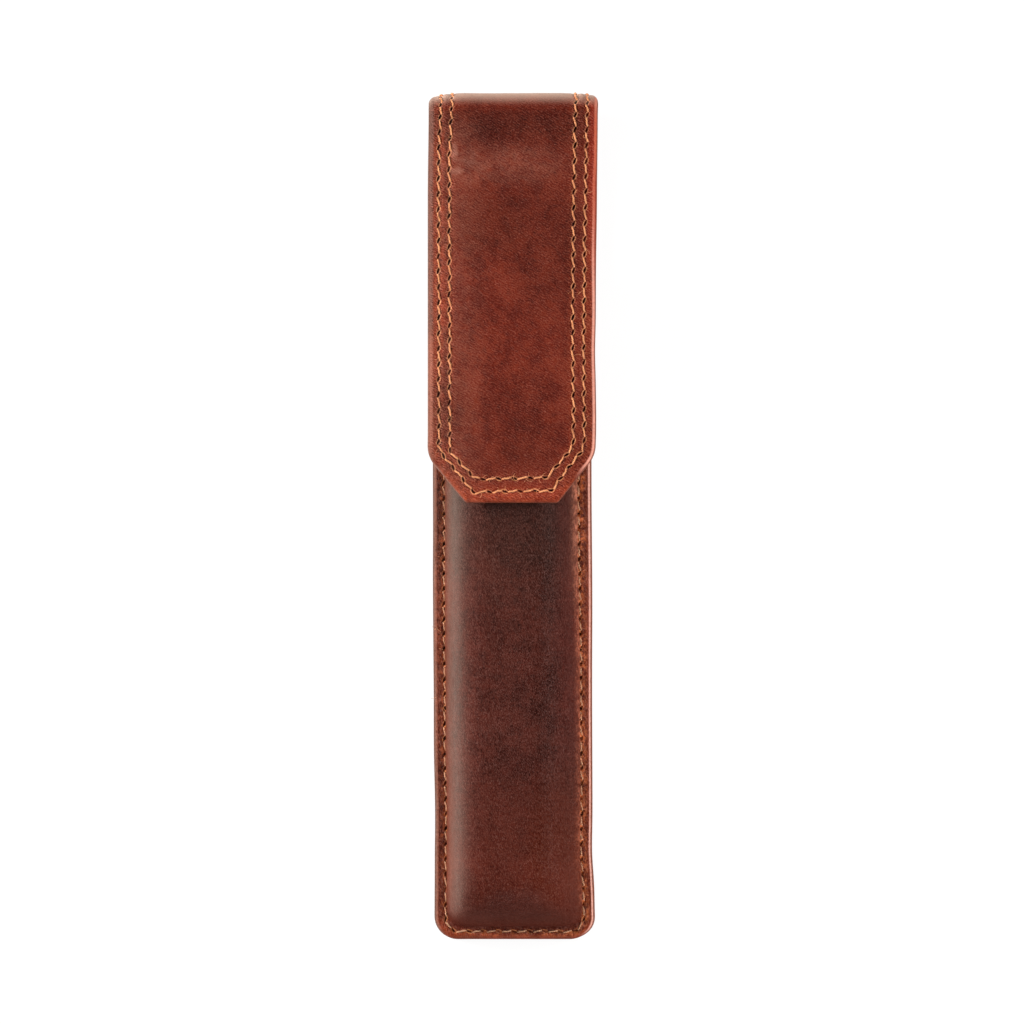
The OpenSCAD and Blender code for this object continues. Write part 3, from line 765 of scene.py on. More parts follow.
def pocket_piece(name, outer_g, outer_p, inner_g, inner_p, data=None, data_p=None):
    lv, ln = thin(n_lev, 5), thin(n_side, 4)
    left, right = np.where(kind == 0)[0], np.where(kind == 4)[0][::-1]
    c1, ft, c3 = np.where(kind == 1)[0], np.where(kind == 2)[0], np.where(kind == 3)[0]
    tf = thin(len(ft), 2)
    keep = np.r_[left[ln], c1[3::4], ft[tf], c3[3::4], np.sort(right[ln])]
    v1, f1, in1, rim1, mouth1 = pocket_face(outer_g, outer_p, kind, False)
    v2, f2, in2, rim2, mouth2 = pocket_face(inner_g[lv][:, keep], inner_p[ln][:, tf], kind[keep], True)
    k = len(v1)
    verts = np.vstack([v1, v2])
    faces = f1 + [f + k for f in f2]
    rim2, mouth2 = rim2 + k, mouth2 + k
    faces.append(zip_lines(rim1, param(verts[rim1]), rim2, param(verts[rim2]), True))
    faces.append(zip_lines(mouth1, param(verts[mouth1]), mouth2, param(verts[mouth2]), False))
    attrs = {}
    if data is not None:
        for key in data:
            a, b = data[key], data_p[key]
            shape = a.shape[2:]
            fill = np.zeros((len(v2),) + shape)
            if key in ("rowa", "rowb"):
                fill[:, 1] = np.where(v2[:, 2] < Z_FLANGE - 1.0, -50.0, 50.0)
            if key == "flat":
                fill = v2 * [1, 1, 1 / 3]
            attrs[key] = np.concatenate([a.reshape((-1,) + shape), b[in1].reshape((-1,) + shape), fill])
    return make_mesh(name, verts, faces, attrs)


# places for the grain: plan position, and height as the third number
flat_g, flat_p = grid * [1, 1, 1 / 3], pl * [1, 1, 1 / 3]


def rows_attr(k, d, shape, keep):
    return np.stack([k.reshape(shape), np.where(keep, d.reshape(shape), -50.0), np.ones(shape)], -1)


whg, whp = grid[..., 2] - Z_FLANGE, pl[..., 2] - Z_FLANGE
mg, mp = np.maximum(mouth_y(grid[..., 0]) - grid[..., 1], 0), np.maximum(mouth_y(pl[..., 0]) - pl[..., 1], 0)
data_g = {"flat": flat_g, "rowa": rows_attr(ks, ds, eg.shape, whg > -1), "rowb": rows_attr(km, dm, eg.shape, whg > -1),
          "edge": np.minimum(np.where(whg < 3, eg, 9.0), mg), "wall": whg}
data_p = {"flat": flat_p, "rowa": rows_attr(ks2, ds2 * 0 + 50, ep.shape, whp > -1), "rowb": rows_attr(km2, dm2, ep.shape, whp > -1),
          "edge": np.minimum(9.0, mp), "wall": whp}


def flange_drop(g, z_drop, lateral=0.0):
    """The pocket's face moved down by z_drop."""
    out = g.copy()
    out[..., 2] -= z_drop
    return out


in_g, in_p, _ = pocket_offset(grid, pl, 1.3, False)
# the flange's underside is turned: it reaches lower at the rim
rimness = 1 - smooth(0.0, 0.02, whg)
in_g[..., 2] = np.where(whg < 0.02, Z_FLANGE - 1.3 - 0.72 * (1 - smooth(1.2, 2.0, eg)), in_g[..., 2])
in_g[-1, :, :2] = grid[-1, :, :2] + (grid[-2, :, :2] - grid[-1, :, :2]) * 0.02
in_g[-1, :, 2] = Z_FLANGE - 1.25
pocket = pocket_piece("pocket_leather", warp_xyz(top_g), warp_xyz(top_p), warp_xyz(in_g), warp_xyz(in_p), data_g, data_p)

lin_o, lin_op, _ = pocket_offset(grid, pl, 1.36, False)
lin_i, lin_ip, _ = pocket_offset(grid, pl, 2.1, False)


def pull_in(g, p, mouth_gap, flange_z):
    """Keeps the lining inside the leather's rim and mouth."""
    out, out_p = g.copy(), p.copy()
    w = smooth(Y_B, MOUTH, g[..., 1])
    out[..., 1] -= mouth_gap * w
    out_p[..., 1] -= mouth_gap * smooth(Y_B, MOUTH, p[..., 1])
    flat = whg < 0.05
    out[..., 2] = np.where(flat, flange_z, np.maximum(out[..., 2], flange_z))
    c = np.clip(grid[..., :2], [-PA - 0.9, Y_FR + 2.2], [PA + 0.9, 200])
    out[..., 0] = np.where(flat, c[..., 0], out[..., 0])
    out[..., 1] = np.where(flat, np.maximum(out[..., 1], Y_FR + 2.2), out[..., 1])
    return out, out_p


lin_o, lin_op = pull_in(lin_o, lin_op, 0.55, 3.02)
lin_i, lin_ip = pull_in(lin_i, lin_ip, 0.55, 2.36)
pocket_lining = pocket_piece("pocket_inner_lining", warp_xyz(lin_o), warp_xyz(lin_op), warp_xyz(lin_i), warp_xyz(lin_ip))


# ---------------------------------------------------------------- stitches
def dome_z(x):
    return Z_FLANGE + crown(np.minimum(np.abs(x), PC + 0.985 * (PA - PC)) - PC)


def strip_surface(x, q, depth):
    return strip_point(x, q, depth + strip_dents(x, q) * (1 - 0.8 * smooth(Q3, Q4 + 6, q)))


def flange_surface(x, y, depth):
    return np.stack([body_warp(x, y), y, Z_FLANGE - depth], -1)


def dome_surface(x, y, depth):
    slope = (dome_z(x + 0.001) - dome_z(x - 0.001)) / 0.002
    size = np.sqrt(1 + slope ** 2)
    return np.stack([x + slope / size * depth, y, dome_z(x) - depth / size], -1)


def runs_of(row, pick, surface, lift, dip, rings=17, outside=True, seed=1):
    """Centre lines and outward normals of the stitches between neighbouring holes."""
    rs = np.random.RandomState(seed)
    n = row.n if row.path.closed else row.n - 1
    l0 = row.l[:n]
    l1 = np.r_[row.l, row.l[0] + row.path.total][1:n + 1]
    s0, s1 = row.side[:n], np.r_[row.side, row.side[0]][1:n + 1]
    p0, p1 = row.path.at(l0), row.path.at(l1)
    t0, t1 = row.path.tangent(l0), row.path.tangent(l1)
    n0, n1 = np.stack([-t0[:, 1], t0[:, 0]], -1), np.stack([-t1[:, 1], t1[:, 0]], -1)
    c, s = math.cos(SLIT_ANGLE), math.sin(SLIT_ANGLE)
    k = row.length * (1.12 if outside else 0.2)
    a = p0 + n0 * s0[:, None] + k * (t0 * c - n0 * s)
    b = p1 + n1 * (s1[:, None] + (0.13 if outside else 0)) - k * 0.85 * (t1 * c - n1 * s)
    f = (1 - np.cos(np.linspace(0, math.pi, rings))) / 2
    f = 0.35 * f + 0.65 * np.linspace(0, 1, rings)
    flat = a[:, None] + (b - a)[:, None] * f[None, :, None]
    flat = flat + (n0[:, None] * np.sin(2 * math.pi * f)[None, :, None]) * rs.uniform(-0.02, 0.1, (n, 1, 1))
    flat = flat + (n0[:, None] * np.sin(3 * math.pi * f)[None, :, None]) * rs.uniform(-0.05, 0.05, (n, 1, 1))
    keep = pick((p0[:, 1] + p1[:, 1]) / 2)
    flat = flat[keep]
    lift = lift(flat[..., 0], flat[..., 1]) if callable(lift) else lift
    wave = rs.uniform(-0.03, 0.03, (len(flat), 1))
    e = np.abs(2 * f - 1)[None, :] ** 5
    depth = (lift + wave) * (1 - e) + dip * e
    x, q = flat[..., 0], flat[..., 1]
    p = surface(x, q, depth)
    up = surface(x, q, depth - 0.1) - p
    return p, up / np.linalg.norm(up, axis=-1, keepdims=True)


def twisted(name, groups, radius, plies=3, lay=1.35, sides=7, seed=3, floor=None):
    """Stitches as one mesh, each of several plies twisted round its centre line."""
    rs = np.random.RandomState(seed)
    verts, faces, caps, data, at = [], [], [], [], 0
    for p, up in groups:
        if not len(p):
            continue
        n, m = p.shape[:2]
        t = np.gradient(p, axis=1)
        t /= np.linalg.norm(t, axis=-1, keepdims=True)
        b = np.cross(t, up)
        b /= np.linalg.norm(b, axis=-1, keepdims=True)
        u = np.cross(b, t)
        step = np.linalg.norm(np.diff(p, axis=1), axis=-1)
        length = np.concatenate([np.zeros((n, 1)), np.cumsum(step, 1)], 1)
        ph0 = rs.uniform(0, 2 * math.pi, (n, 1))
        thick = radius * rs.uniform(0.93, 1.07, (n, 1, 1))
        for j in range(plies):
            ph = ph0 + 2 * math.pi * (j / plies + length / lay)
            rp, rr = (0.52, 0.56) if plies > 1 else (0.0, 1.0)
            c = p + thick * rp * (np.cos(ph)[..., None] * u + np.sin(ph)[..., None] * b)
            a = np.linspace(0, 2 * math.pi, sides, endpoint=False)
            ring = c[:, :, None] + thick[..., None] * rr * (np.cos(a)[None, None, :, None] * u[:, :, None] + np.sin(a)[None, None, :, None] * b[:, :, None])
            idx = at + np.arange(n * m * sides).reshape(n, m, sides)
            nxt = np.roll(idx, -1, 2)
            faces.append(np.stack([idx[:, :-1], nxt[:, :-1], nxt[:, 1:], idx[:, 1:]], -1).reshape(-1, 4))
            caps.append(idx[:, 0, ::-1].reshape(-1, sides))
            caps.append(idx[:, -1].reshape(-1, sides))
            verts.append(ring.reshape(-1, 3))
            tint = rs.uniform(0, 1, (n, 1, 1)) + np.zeros((n, m, sides))
            data.append(np.stack([tint, np.repeat(length[..., None], sides, 2), (np.cos(ph)[..., None] * rp + np.cos(a)[None, None, :] * rr) * 0.5 + 0.5], -1).reshape(-1, 3))
            at += n * m * sides
    v = np.vstack(verts)
    if floor is not None:
        v[:, 2] = np.maximum(v[:, 2], floor)
    return make_mesh(name, v, faces + caps, {"yarn": np.vstack(data)})


def lift_top(x, q):
    return -0.06 + 0.32 * smooth(Q3, Q4 + 2, q)


THREAD_R = 0.175
on_flap, on_rear = (lambda q: q < Q_MID), (lambda q: q >= Q_MID)
inner_rear = lambda q: (q >= Q_MID) & (q < Q4 + (Y_FOLD - MOUTH))
under_lift, under_dip = 2.2, 1.95
flap_edge_stitches = twisted("flap_edge_stitches", [
    runs_of(row_a, on_flap, strip_surface, lift_top, 0.6, seed=51),
    runs_of(row_a, on_flap, strip_point, under_lift, under_dip, 9, False, 52)], THREAD_R, seed=61)
flap_inner_stitches = twisted("flap_inner_stitches", [
    runs_of(row_b, on_flap, strip_surface, lift_top, 0.6, seed=53),
    runs_of(row_b, on_flap, strip_point, under_lift, under_dip, 9, False, 54)], THREAD_R, seed=62)
rear_edge_stitches = twisted("rear_edge_stitches", [
    runs_of(row_a, on_rear, strip_surface, lift_top, 0.6, 13, seed=55),
    runs_of(row_a, inner_rear, strip_point, under_lift, under_dip, 9, False, 56)], THREAD_R, seed=63, floor=0.0)
rear_inner_stitches = twisted("rear_inner_stitches", [
    runs_of(row_b, on_rear, strip_surface, lift_top, 0.6, 13, seed=57),
    runs_of(row_b, on_rear, strip_point, under_lift, under_dip, 9, False, 58)], THREAD_R, seed=64, floor=0.0)
everywhere = lambda q: q < 1e9
seam_stitches = twisted("seam_stitches", [runs_of(row_s, everywhere, flange_surface, 0.06, 0.62, seed=59)], 0.155, seed=65)
mouth_stitches = twisted("mouth_stitches", [runs_of(row_m, everywhere, dome_surface, 0.02, 0.6, seed=60)], 0.2, seed=66)


def fibres(name, picks, seed, radius=0.026):
    """Loose ends of thread and leather: short curved hairs. picks: (surface, x, q, count, spread, height)."""
    rs = np.random.RandomState(seed)
    runs, ups = [], []
    t = np.linspace(0, 1, 8)
    for surface, cx, cq, count, spread, height in picks:
        for _ in range(count):
            x0, q0 = cx + rs.uniform(-spread, spread), cq + rs.uniform(-0.35, 0.35)
            ang, bend, length = rs.uniform(0, 2 * math.pi), rs.uniform(-2.4, 2.4), rs.uniform(0.5, 1.5)
            a = ang + bend * t
            x = x0 + np.r_[0, np.cumsum(np.cos(a[:-1]))] * length / 7
            q = q0 + np.r_[0, np.cumsum(np.sin(a[:-1]))] * length / 7
            d = 0.08 - height * rs.uniform(0.4, 1.0) * np.sin(np.pi * (0.12 + 0.8 * t))
            p = surface(x, q, d)
            up = surface(x, q, d - 0.1) - p
            runs.append(p)
            ups.append(up / np.linalg.norm(up, axis=-1, keepdims=True))
    return twisted(name, [(np.array(runs), np.array(ups))], radius, plies=1, sides=4, seed=seed)


tip_picks = [(strip_surface, x, 4.95, 2, 1.0, 0.35) for x in (-5.5, -2.0, 2.0, 5.2)] + [(strip_surface, x, 7.4, 3, 1.1, 0.4) for x in (-5.0, -0.5, 2.2, 6.0)]
side_picks = [(strip_surface, x, q, 1, 0.3, 0.3) for x in (-14.2, -12.1, 12.0, 14.1) for q in (13.0, 19.5, 31.0, 44.0, 52.0, 63.0, 74.0)]
flap_fibres = fibres("flap_fibres", tip_picks + side_picks, 71)
seam_picks = [(flange_surface, x, y, 1, 0.4, 0.2) for x in (-13.3, 13.3) for y in (-8.0, -17.0, -26.0, -38.0, -47.0, -58.0, -69.0)]
seam_picks += [(flange_surface, -14.9, -21.8, 3, 0.15, 0.25), (flange_surface, -14.9, -35.5, 1, 0.15, 0.2)]
seam_fibres = fibres("seam_fibres", seam_picks, 72)


# ---------------------------------------------------------------- materials
def lin(r, g, b):
    out = []
    for c in (r, g, b):
        c = c / 255
        out.append(c / 12.92 if c <= 0.04045 else ((c + 0.055) / 1.055) ** 2.4)
    return tuple(out) + (1.0,)


class Graph:
    """A few short calls for building a material's nodes."""

    def __init__(self, name):
        self.mat = bpy.data.materials.new(name)
        self.mat.use_nodes = True
        self.t = self.mat.node_tree
        self.t.nodes.clear()
        self.out = self.t.nodes.new("ShaderNodeOutputMaterial")

    def put(self, sock, value):
        if isinstance(value, bpy.types.NodeSocket):
            self.t.links.new(value, sock)
        else:
            sock.default_value = value

    def m(self, op, a, b=None, c=None, clamp=False):
        n = self.t.nodes.new("ShaderNodeMath")
        n.operation, n.use_clamp = op, clamp
        for i, v in enumerate((a, b, c)):
            if v is not None:
                self.put(n.inputs[i], v)
        return n.outputs[0]

    def add(self, a, b):
        return self.m("ADD", a, b)

    def sub(self, a, b):
        return self.m("SUBTRACT", a, b)

    def mul(self, a, b, clamp=False):
        return self.m("MULTIPLY", a, b, clamp=clamp)

    def step(self, x, lo, hi, a=0.0, b=1.0):
        n = self.t.nodes.new("ShaderNodeMapRange")
        n.interpolation_type = "SMOOTHSTEP"
        self.put(n.inputs[0], x)
        for i, v in enumerate((lo, hi, a, b)):
            self.put(n.inputs[1 + i], v)
        return n.outputs[0]

    def mix(self, a, b, f):
        n = self.t.nodes.new("ShaderNodeMix")
        n.data_type, n.clamp_factor = "RGBA", True
        self.put(n.inputs[0], f)
        self.put(n.inputs[6], a)
        self.put(n.inputs[7], b)
        return n.outputs[2]

    def gain(self, col, f):
        n = self.t.nodes.new("ShaderNodeVectorMath")
        n.operation = "SCALE"
        self.put(n.inputs[0], col)
        self.put(n.inputs[3], f)
        return n.outputs[0]

    def attr(self, name):
        n = self.t.nodes.new("ShaderNodeAttribute")
        n.attribute_name = name
        return n

    def xyz(self, vec):
        n = self.t.nodes.new("ShaderNodeSeparateXYZ")
        self.put(n.inputs[0], vec)
        return n.outputs[0], n.outputs[1], n.outputs[2]

    def vec(self, x, y, z):
        n = self.t.nodes.new("ShaderNodeCombineXYZ")
        for i, v in enumerate((x, y, z)):
            self.put(n.inputs[i], v)
        return n.outputs[0]

    def noise(self, vec, scale=1.0, detail=2.0, rough=0.5, distort=0.0):
        n = self.t.nodes.new("ShaderNodeTexNoise")
        self.put(n.inputs["Vector"], vec)
        n.inputs["Scale"].default_value = scale
        n.inputs["Detail"].default_value = detail
        n.inputs["Roughness"].default_value = rough
        n.inputs["Distortion"].default_value = distort
        return n.outputs[0]

    def cells(self, vec, scale, feature="F1"):
        n = self.t.nodes.new("ShaderNodeTexVoronoi")
        n.feature = feature
        self.put(n.inputs["Vector"], vec)
        n.inputs["Scale"].default_value = scale
        return n.outputs[0]

    def bump(self, height, distance, normal=None, strength=1.0):
        n = self.t.nodes.new("ShaderNodeBump")
        n.inputs["Strength"].default_value = strength
        n.inputs["Distance"].default_value = distance
        self.put(n.inputs["Height"], height)
        if normal is not None:
            self.put(n.inputs["Normal"], normal)
        return n.outputs[0]

    def shade(self, color, rough, normal=None, **fixed):
        n = self.t.nodes.new("ShaderNodeBsdfPrincipled")
        self.put(n.inputs["Base Color"], color)
        self.put(n.inputs["Roughness"], rough)
        if normal is not None:
            self.put(n.inputs["Normal"], normal)
        for key, v in fixed.items():
            n.inputs[key.replace("_", " ")].default_value = v
        self.t.links.new(n.outputs[0], self.out.inputs[0])
        return self.mat


def flat_coords(g, lean):
    """Position on the laid-out leather in mm: x, y, and axes along and across the streaks."""
    x, y, side = g.xyz(g.attr("flat").outputs["Vector"])
    c, s = math.cos(math.radians(lean)), math.sin(math.radians(lean))
    u = g.sub(g.mul(x, c), g.mul(y, s))
    v = g.add(g.mul(x, s), g.mul(y, c))
    return x, y, side, u, v


def row_masks(g, name, row):
    """Masks of the slits, of the leather raised beside them, and of the line of the row."""
    k, d, side = g.xyz(g.attr(name).outputs["Vector"])
    a = g.mul(g.sub(g.m("FRACT", g.add(k, 0.5)), 0.5), row.pitch)
    c, s = math.cos(SLIT_ANGLE), math.sin(SLIT_ANGLE)
    e1 = g.sub(g.mul(a, c), g.mul(d, s))
    e2 = g.add(g.mul(a, s), g.mul(d, c))
    hole = g.m("FLOOR", g.add(k, 0.5))
    own = g.noise(g.vec(g.mul(hole, 3.7), 1.5, 0.5), 1.0, 0.0)
    r = g.m("SQRT", g.add(g.m("POWER", g.mul(e1, 1 / row.length), 2.0), g.m("POWER", g.mul(e2, 1 / row.width), 2.0)))
    slit = g.step(g.mul(r, g.step(own, 0.25, 0.75, 0.85, 1.3)), 1.35, 0.75)
    # the cut edge of the hole stands up beside it, more at one stitch than at another
    ring = g.m("SQRT", g.add(g.m("POWER", g.mul(e1, 1 / (row.length + 0.1)), 2.0), g.m("POWER", g.mul(e2, 1 / (row.width + 0.19)), 2.0)))
    rim = g.step(g.m("ABSOLUTE", g.sub(ring, 1.0)), 0.42, 0.08)
    rim = g.mul(rim, g.step(g.m("ABSOLUTE", e2), 0.08, 0.26))
    sided = g.noise(g.vec(g.mul(hole, 5.3), g.mul(g.m("SIGN", e2), 9.0), 4.0), 1.0, 0.0)
    rim = g.mul(rim, g.step(sided, 0.32, 0.62, 0.15, 1.0))
    ad = g.m("ABSOLUTE", d)
    line = g.step(ad, 0.5, 0.1)
    wide = g.step(ad, 1.5, 0.3)
    return slit, rim, line, wide, d


def leather(name, palette, rows, lean, fine_gain, rough=0.42, margin=0.5, between=0.35, hair=0.0, streak=0.75, shade_at=None, edge_at=None):
    g = Graph(name)
    x, y, side, u, v = flat_coords(g, lean)
    edge = g.attr("edge").outputs["Fac"]
    flat = g.vec(x, y, g.mul(side, 3.0))
    streak_v = g.vec(g.mul(u, 1.45), g.mul(v, 3.7), g.mul(side, 8.0))
    big = g.noise(flat, 0.11, 3.0, 0.6)
    blot = g.noise(flat, 0.45, 3.0, 0.6, 0.6)
    mid = g.noise(g.vec(g.mul(u, 0.5), g.mul(v, 1.5), g.add(9.0, g.mul(side, 3.0))), 1.0, 4.0, 0.6, 0.5)
    s1 = g.noise(streak_v, 1.0, 2.0, 0.5, 0.3)
    s2 = g.noise(g.vec(g.mul(u, 2.9), g.mul(v, 8.0), g.mul(side, 14.0)), 1.0, 1.0, 0.5, 0.2)
    fine = g.noise(flat, 7.0, 2.0, 0.6)
    p = palette
    tone = g.step(g.add(g.add(g.mul(big, 0.45), g.mul(blot, 0.3)), g.mul(mid, 0.25)), 0.40, 0.60)
    col = g.mix(p["low"], p["high"], tone)
    col = g.mix(col, p["deep"], g.mul(g.step(blot, 0.56, 0.78), 0.4))
    # wear along the edge and between the rows
    worn = g.noise(flat, 0.9, 3.0, 0.6)
    near = g.step(edge, 2.5, 0.7)
    streaky = g.step(s1, 0.40, 0.62, 0.35, 1.0)
    col = g.mix(col, p["worn"], g.mul(g.mul(g.mul(near, g.step(worn, 0.3, 0.62, 0.4, 1.0)), streaky), margin))
    dark, lively = None, near
    for key, row, amount in rows:
        slit, rim, line, wide, d = row_masks(g, key, row)
        lively = g.m("MAXIMUM", lively, wide)
        col = g.mix(col, p["worn"], g.mul(g.mul(wide, streaky), between * amount))
        col = g.mix(col, p["deep"], g.mul(line, 0.3))
        col = g.mix(col, p["rim"], g.mul(g.mul(rim, g.step(fine, 0.35, 0.62, 0.35, 1.0)), amount))
        # painted shade: the slits are near-black where the needle holes go down into the leather
        col = g.mix(col, (0.0035, 0.002, 0.0018, 1), slit)
        dark = slit if dark is None else g.m("MAXIMUM", dark, slit)
    if shade_at is not None:
        col = shade_at(g, col, x, y)
    if edge_at is not None:
        col = edge_at(g, col, x, y, edge)
    # fine pale streaks, a little stronger by the seams and the edge
    amount = g.add(g.mul(g.sub(s1, 0.5), streak), g.mul(g.sub(g.mul(s2, s2), 0.26), fine_gain))
    if hair > 0:
        # hairlines half a millimetre apart, wavering and broken up
        bend = g.mul(g.noise(flat, 0.9, 1.0, 0.5), 13.0)
        wave = g.m("SINE", g.add(g.mul(v, 2 * math.pi / 0.46), bend))
        gate = g.step(g.noise(g.vec(g.mul(u, 1.4), g.mul(v, 1.8), g.mul(side, 3.0)), 1.0, 1.0, 0.5), 0.35, 0.65)
        amount = g.add(amount, g.mul(g.mul(wave, gate), hair))
    amount = g.mul(amount, g.add(1.0, g.mul(g.mul(lively, g.step(edge, 0.35, 1.1, -0.5, 1.0)), 0.8)))
    amount = g.mul(amount, g.sub(1.0, dark))
    grit = g.t.nodes.new("ShaderNodeVectorMath")
    grit.operation = "MULTIPLY_ADD"
    g.put(grit.inputs[0], g.vec(amount, amount, amount))
    grit.inputs[1].default_value = p["grit"]
    g.put(grit.inputs[2], col)
    floor_ = g.t.nodes.new("ShaderNodeVectorMath")
    floor_.operation = "MAXIMUM"
    g.put(floor_.inputs[0], grit.outputs[0])
    g.put(floor_.inputs[1], g.gain(col, 0.35))
    col = floor_.outputs[0]
    grain = g.add(g.mul(g.noise(flat, 3.2, 3.0, 0.65), 0.6), g.mul(g.noise(streak_v, 2.0, 2.0, 0.6), 0.5))
    pores = g.step(g.cells(flat, 2.4), 0.0, 0.45)
    h = g.add(grain, g.mul(pores, 0.12))
    nrm = g.bump(h, 0.00006)
    r = g.add(g.step(mid, 0.3, 0.75, rough - 0.04, rough + 0.08), g.mul(dark, 0.4))
    r = g.m("MINIMUM", r, 0.95)
    return g.shade(col, r, nrm, Specular_IOR_Level=0.3)


outer_palette = {"low": lin(88, 27, 15), "high": lin(117, 46, 29), "deep": lin(62, 18, 11), "worn": lin(168, 75, 44),
                 "rim": lin(240, 168, 118), "grit": (0.215, 0.096, 0.078)}
pocket_palette = {"low": lin(61, 27, 21), "high": lin(79, 37, 29), "deep": lin(47, 21, 17), "worn": lin(148, 74, 51),
                  "rim": lin(246, 168, 112), "grit": (0.078, 0.042, 0.037)}


def patch(g, x, y, cx, cy, rx, ry):
    """A soft round mask."""
    a = g.m("POWER", g.mul(g.sub(x, cx), 1 / rx), 2.0)
    b = g.m("POWER", g.mul(g.sub(y, cy), 1 / ry), 2.0)
    return g.step(g.add(a, b), 1.0, 0.0)


def flap_tone(g, col, x, y):
    """Painted shade in a band below the fold, a painted highlight on the fold, where the bent leather is also paler,
    painted sheen and highlights on the creased upper flap, and painted light on the right margin.
    """
    # painted shade: a darker band where the flap turns down towards the fold
    band = g.mul(g.step(y, 70.5, 76.5), g.step(y, 81.0, 78.0))
    fold = g.mul(g.step(y, 79.9, 84.4), g.step(y, 90.5, 85.2))
    col = g.gain(col, g.sub(1.0, g.mul(band, 0.34)))
    for cx, cy, rx, ry, f in ((6.5, 54.0, 11.0, 19.0, -0.25), (-5.0, 57.5, 9.0, 9.5, -0.3), (-13.0, 44.0, 7.0, 9.0, 0.24),
                              (-13.0, 21.0, 7.0, 9.0, -0.28), (2.0, 19.0, 10.0, 11.0, -0.13), (1.0, 74.0, 15.0, 5.0, -0.2), (15.5, 47.0, 5.0, 14.0, 0.14), (3.0, 14.0, 8.0, 6.0, -0.12), (0.0, 10.0, 13.0, 5.0, -0.16)):
        col = g.gain(col, g.add(1.0, g.mul(patch(g, x, y, cx, cy, rx, ry), f)))
    col = g.gain(col, g.add(1.0, g.mul(g.mul(g.step(y, 7.0, 4.6), g.step(y, 0.0, 2.0)), 0.34)))
    # painted light: the right margin made lighter and redder, as if lit from the right
    col = g.mix(col, lin(156, 50, 32), g.mul(g.mul(g.step(x, 13.4, 15.6), g.mul(g.step(y, 42.0, 60.0), g.step(y, 86.0, 80.0))), 0.5))
    broken = g.step(g.noise(g.vec(g.mul(x, 0.8), g.mul(y, 0.5), 2.0), 1.0, 3.0, 0.65, 0.5), 0.36, 0.64, 0.64, 1.1)
    strip = g.mul(g.mul(g.step(x, -11.2, -11.8), g.step(x, -14.8, -14.2)), g.step(y, 80.0, 74.0))
    col = g.gain(col, g.add(1.0, g.mul(strip, g.sub(broken, 1.0))))
    # painted sheen over the upper flap, and painted highlights on the puckers by the left inner row, where the creased
    # leather is also paler
    ragged = g.noise(g.vec(g.mul(x, 0.35), g.mul(y, 0.8), 6.0), 1.0, 4.0, 0.65, 0.8)
    pale = g.mul(patch(g, x, y, -1.0, 68.6, 16.0, 5.2), 0.09)
    pale = g.add(pale, g.mul(g.mul(g.step(x, -3.0, -11.0), g.step(y, 82.0, 74.0)), 0.08))
    pale = g.mul(pale, g.step(ragged, 0.3, 0.65, 0.3, 1.5))
    pale = g.add(pale, g.mul(patch(g, x, y, -11.25, 71.0, 0.9, 2.4), 0.25))
    pale = g.add(pale, g.mul(patch(g, x, y, -10.6, 67.2, 1.8, 0.9), 0.22))
    col = g.mix(col, lin(176, 126, 108), pale)
    # painted highlight on the fold, where the bent leather is also paler
    return g.mix(col, lin(205, 173, 153), g.mul(fold, 0.62))


